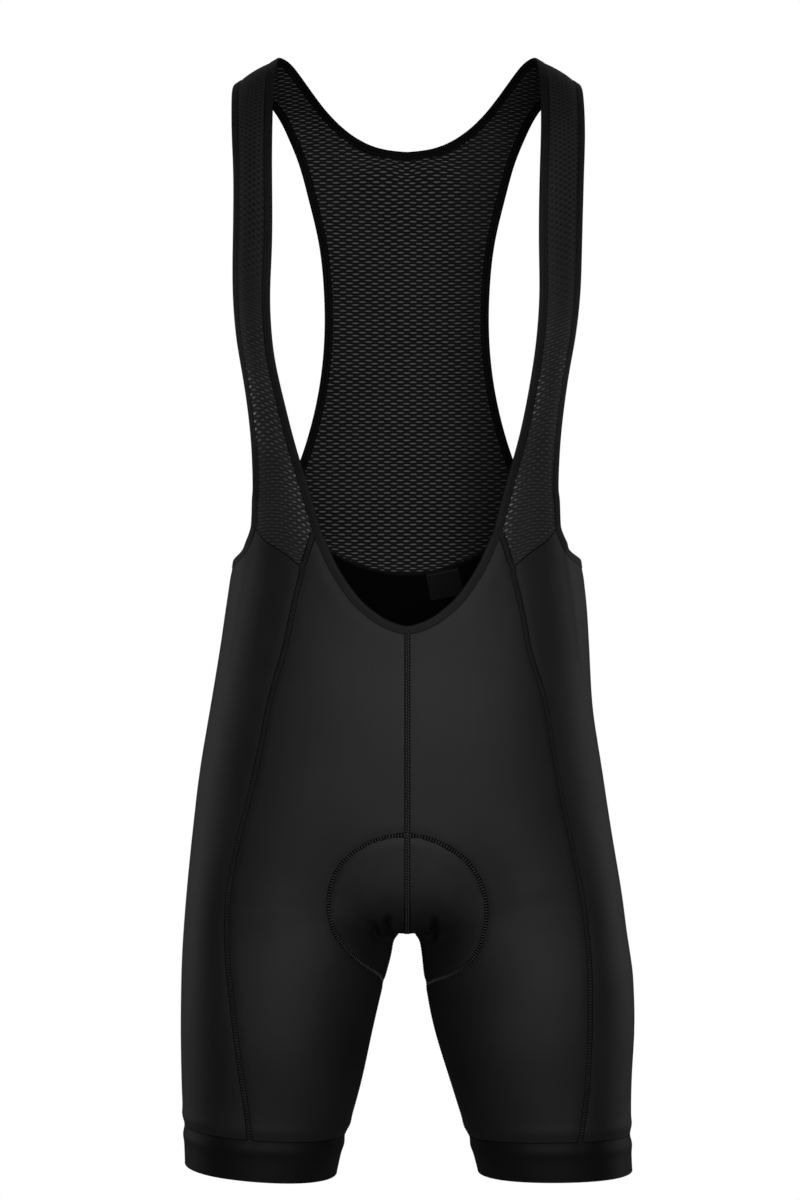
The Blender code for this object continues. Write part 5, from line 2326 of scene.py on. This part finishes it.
MIDDLE = (0.0, 0.0, -0.5)
SOFTBOXES = table(
    Softbox,
    ("side_softbox_-1", (-2.2, 1.3, -0.2), MIDDLE, (0.6, 2.2), 11.0),
    ("side_softbox_+1", (2.2, 1.3, -0.2), MIDDLE, (0.6, 2.2), 11.0),
    ("front_softbox", (0.15, -2.2, -0.1), (0.0, 0.0, -0.6), (0.9, 0.9), 33.0),
    ("back_softbox", (0.0, 2.6, 1.8), MIDDLE, (2.4, 1.2), 5.0),
)


@dataclass
class Studio:
    """Camera, lights and floor."""

    camera_at: tuple[float, float, float] = (-0.0059, -2.4, -0.443)
    lens: float = 85.7
    sensor: float = 36.0
    white: tuple[float, float, float, float] = (1.0, 1.0, 1.0, 1.0)
    ambient: float = 0.006
    floor_z: float = -1.3
    floor_reach: float = 14.0
    floor_grey: float = 0.2

    def place(self, name: str, data: bpy.types.ID, at: Sequence[float] = (0.0, 0.0, 0.0)) -> bpy.types.Object:
        """Puts an object of the data into the scene.

        Args:
            name: Name of the object.
            data: Its camera or light.
            at: Place.

        Returns:
            The object.
        """
        obj = bpy.data.objects.new(name, data)
        obj.location = at
        bpy.context.scene.collection.objects.link(obj)
        return obj

    def shining(self, nodes: Nodes, output: str, seen: Made, lit: Made) -> None:
        """Shows the seen shader to the camera and lets the lit one do the lighting."""
        direct = nodes.add("ShaderNodeLightPath")["Is Camera Ray"]
        nodes.set(nodes.tree.nodes[output], Surface=nodes.add("ShaderNodeMixShader", direct, lit, seen))

    def build(self) -> None:
        """Sets up the white room."""
        scene = bpy.context.scene
        scene.view_settings.view_transform = "Standard"
        scene.world = bpy.data.worlds.new("white room")
        scene.world.use_nodes = True
        nodes = Nodes(scene.world.node_tree)
        seen, lit = (nodes.add("ShaderNodeBackground", self.white, power) for power in (1.0, self.ambient))
        self.shining(nodes, "World Output", seen, lit)
        data = bpy.data.cameras.new("camera")
        data.lens, data.sensor_fit = self.lens, "VERTICAL"
        data.sensor_width = data.sensor_height = self.sensor
        scene.camera = self.place("camera", data, self.camera_at)
        scene.camera.rotation_euler.x = math.radians(90.0)
        for box in SOFTBOXES:
            data = bpy.data.lights.new(box.name, "AREA")
            data.shape = "RECTANGLE"
            data.size, data.size_y = box.size
            data.energy = box.power
            light = self.place(box.name, data, box.place)
            light.rotation_euler = (Vector(box.aim) - Vector(box.place)).to_track_quat("-Z", "Y").to_euler()
        self.floor()

    def floor(self) -> None:
        """Pale floor below the hems."""
        mesh = bpy.data.meshes.new("floor")
        ways = ((-1, -1), (1, -1), (1, 1), (-1, 1))
        corners = [(x * self.floor_reach, y * self.floor_reach, self.floor_z) for x, y in ways]
        mesh.from_pydata(corners, [], [(0, 1, 2, 3)])
        material = bpy.data.materials.new("Pale floor")
        material.use_nodes = True
        nodes = Nodes(material.node_tree)
        shader = material.node_tree.nodes["Principled BSDF"]
        nodes.set(shader, Base_Color=grey(self.floor_grey, 1.0), Roughness=0.9)
        seen = nodes.add("ShaderNodeEmission", self.white, 1.0)
        self.shining(nodes, "Material Output", seen, Made(nodes, shader))
        mesh.materials.append(material)
        self.place("floor", mesh)


EASINGS = (
    Easing(Edge(0.0, ShortsForm.crotch_z), Edge(24.0, 22.0), 12, front=False),
    Easing(Edge(88.0, -690.0), Edge(62.0, 62.0), 160),
    Easing(Edge(0.0, Pattern.waist_z), Edge(100.0, 18.0), 80),
)


def main() -> None:
    """Builds the garment's looks in order."""
    logging.basicConfig(level=logging.INFO, format="%(name)s: %(message)s", stream=sys.stdout)
    Studio().build()
    kit = Kit.build()
    pattern = Pattern()
    cloth = Cloth.from_net(pattern.build(), levels=3)
    for easing in EASINGS:
        cloth.round_off(easing)
    sewing = Sewing(cloth)
    pad = PadRing(cloth, kit)
    cloth.fold(FOLDS)
    pad.swell()
    sewing.draw_in()
    ClothPieces(cloth, kit).build()
    FlatlockSeams(sewing, kit).build()
    pad.build()
    Label(pattern.form, kit).build()
    Bindings(sewing, kit).build()


if __name__ == "__main__":
    main()
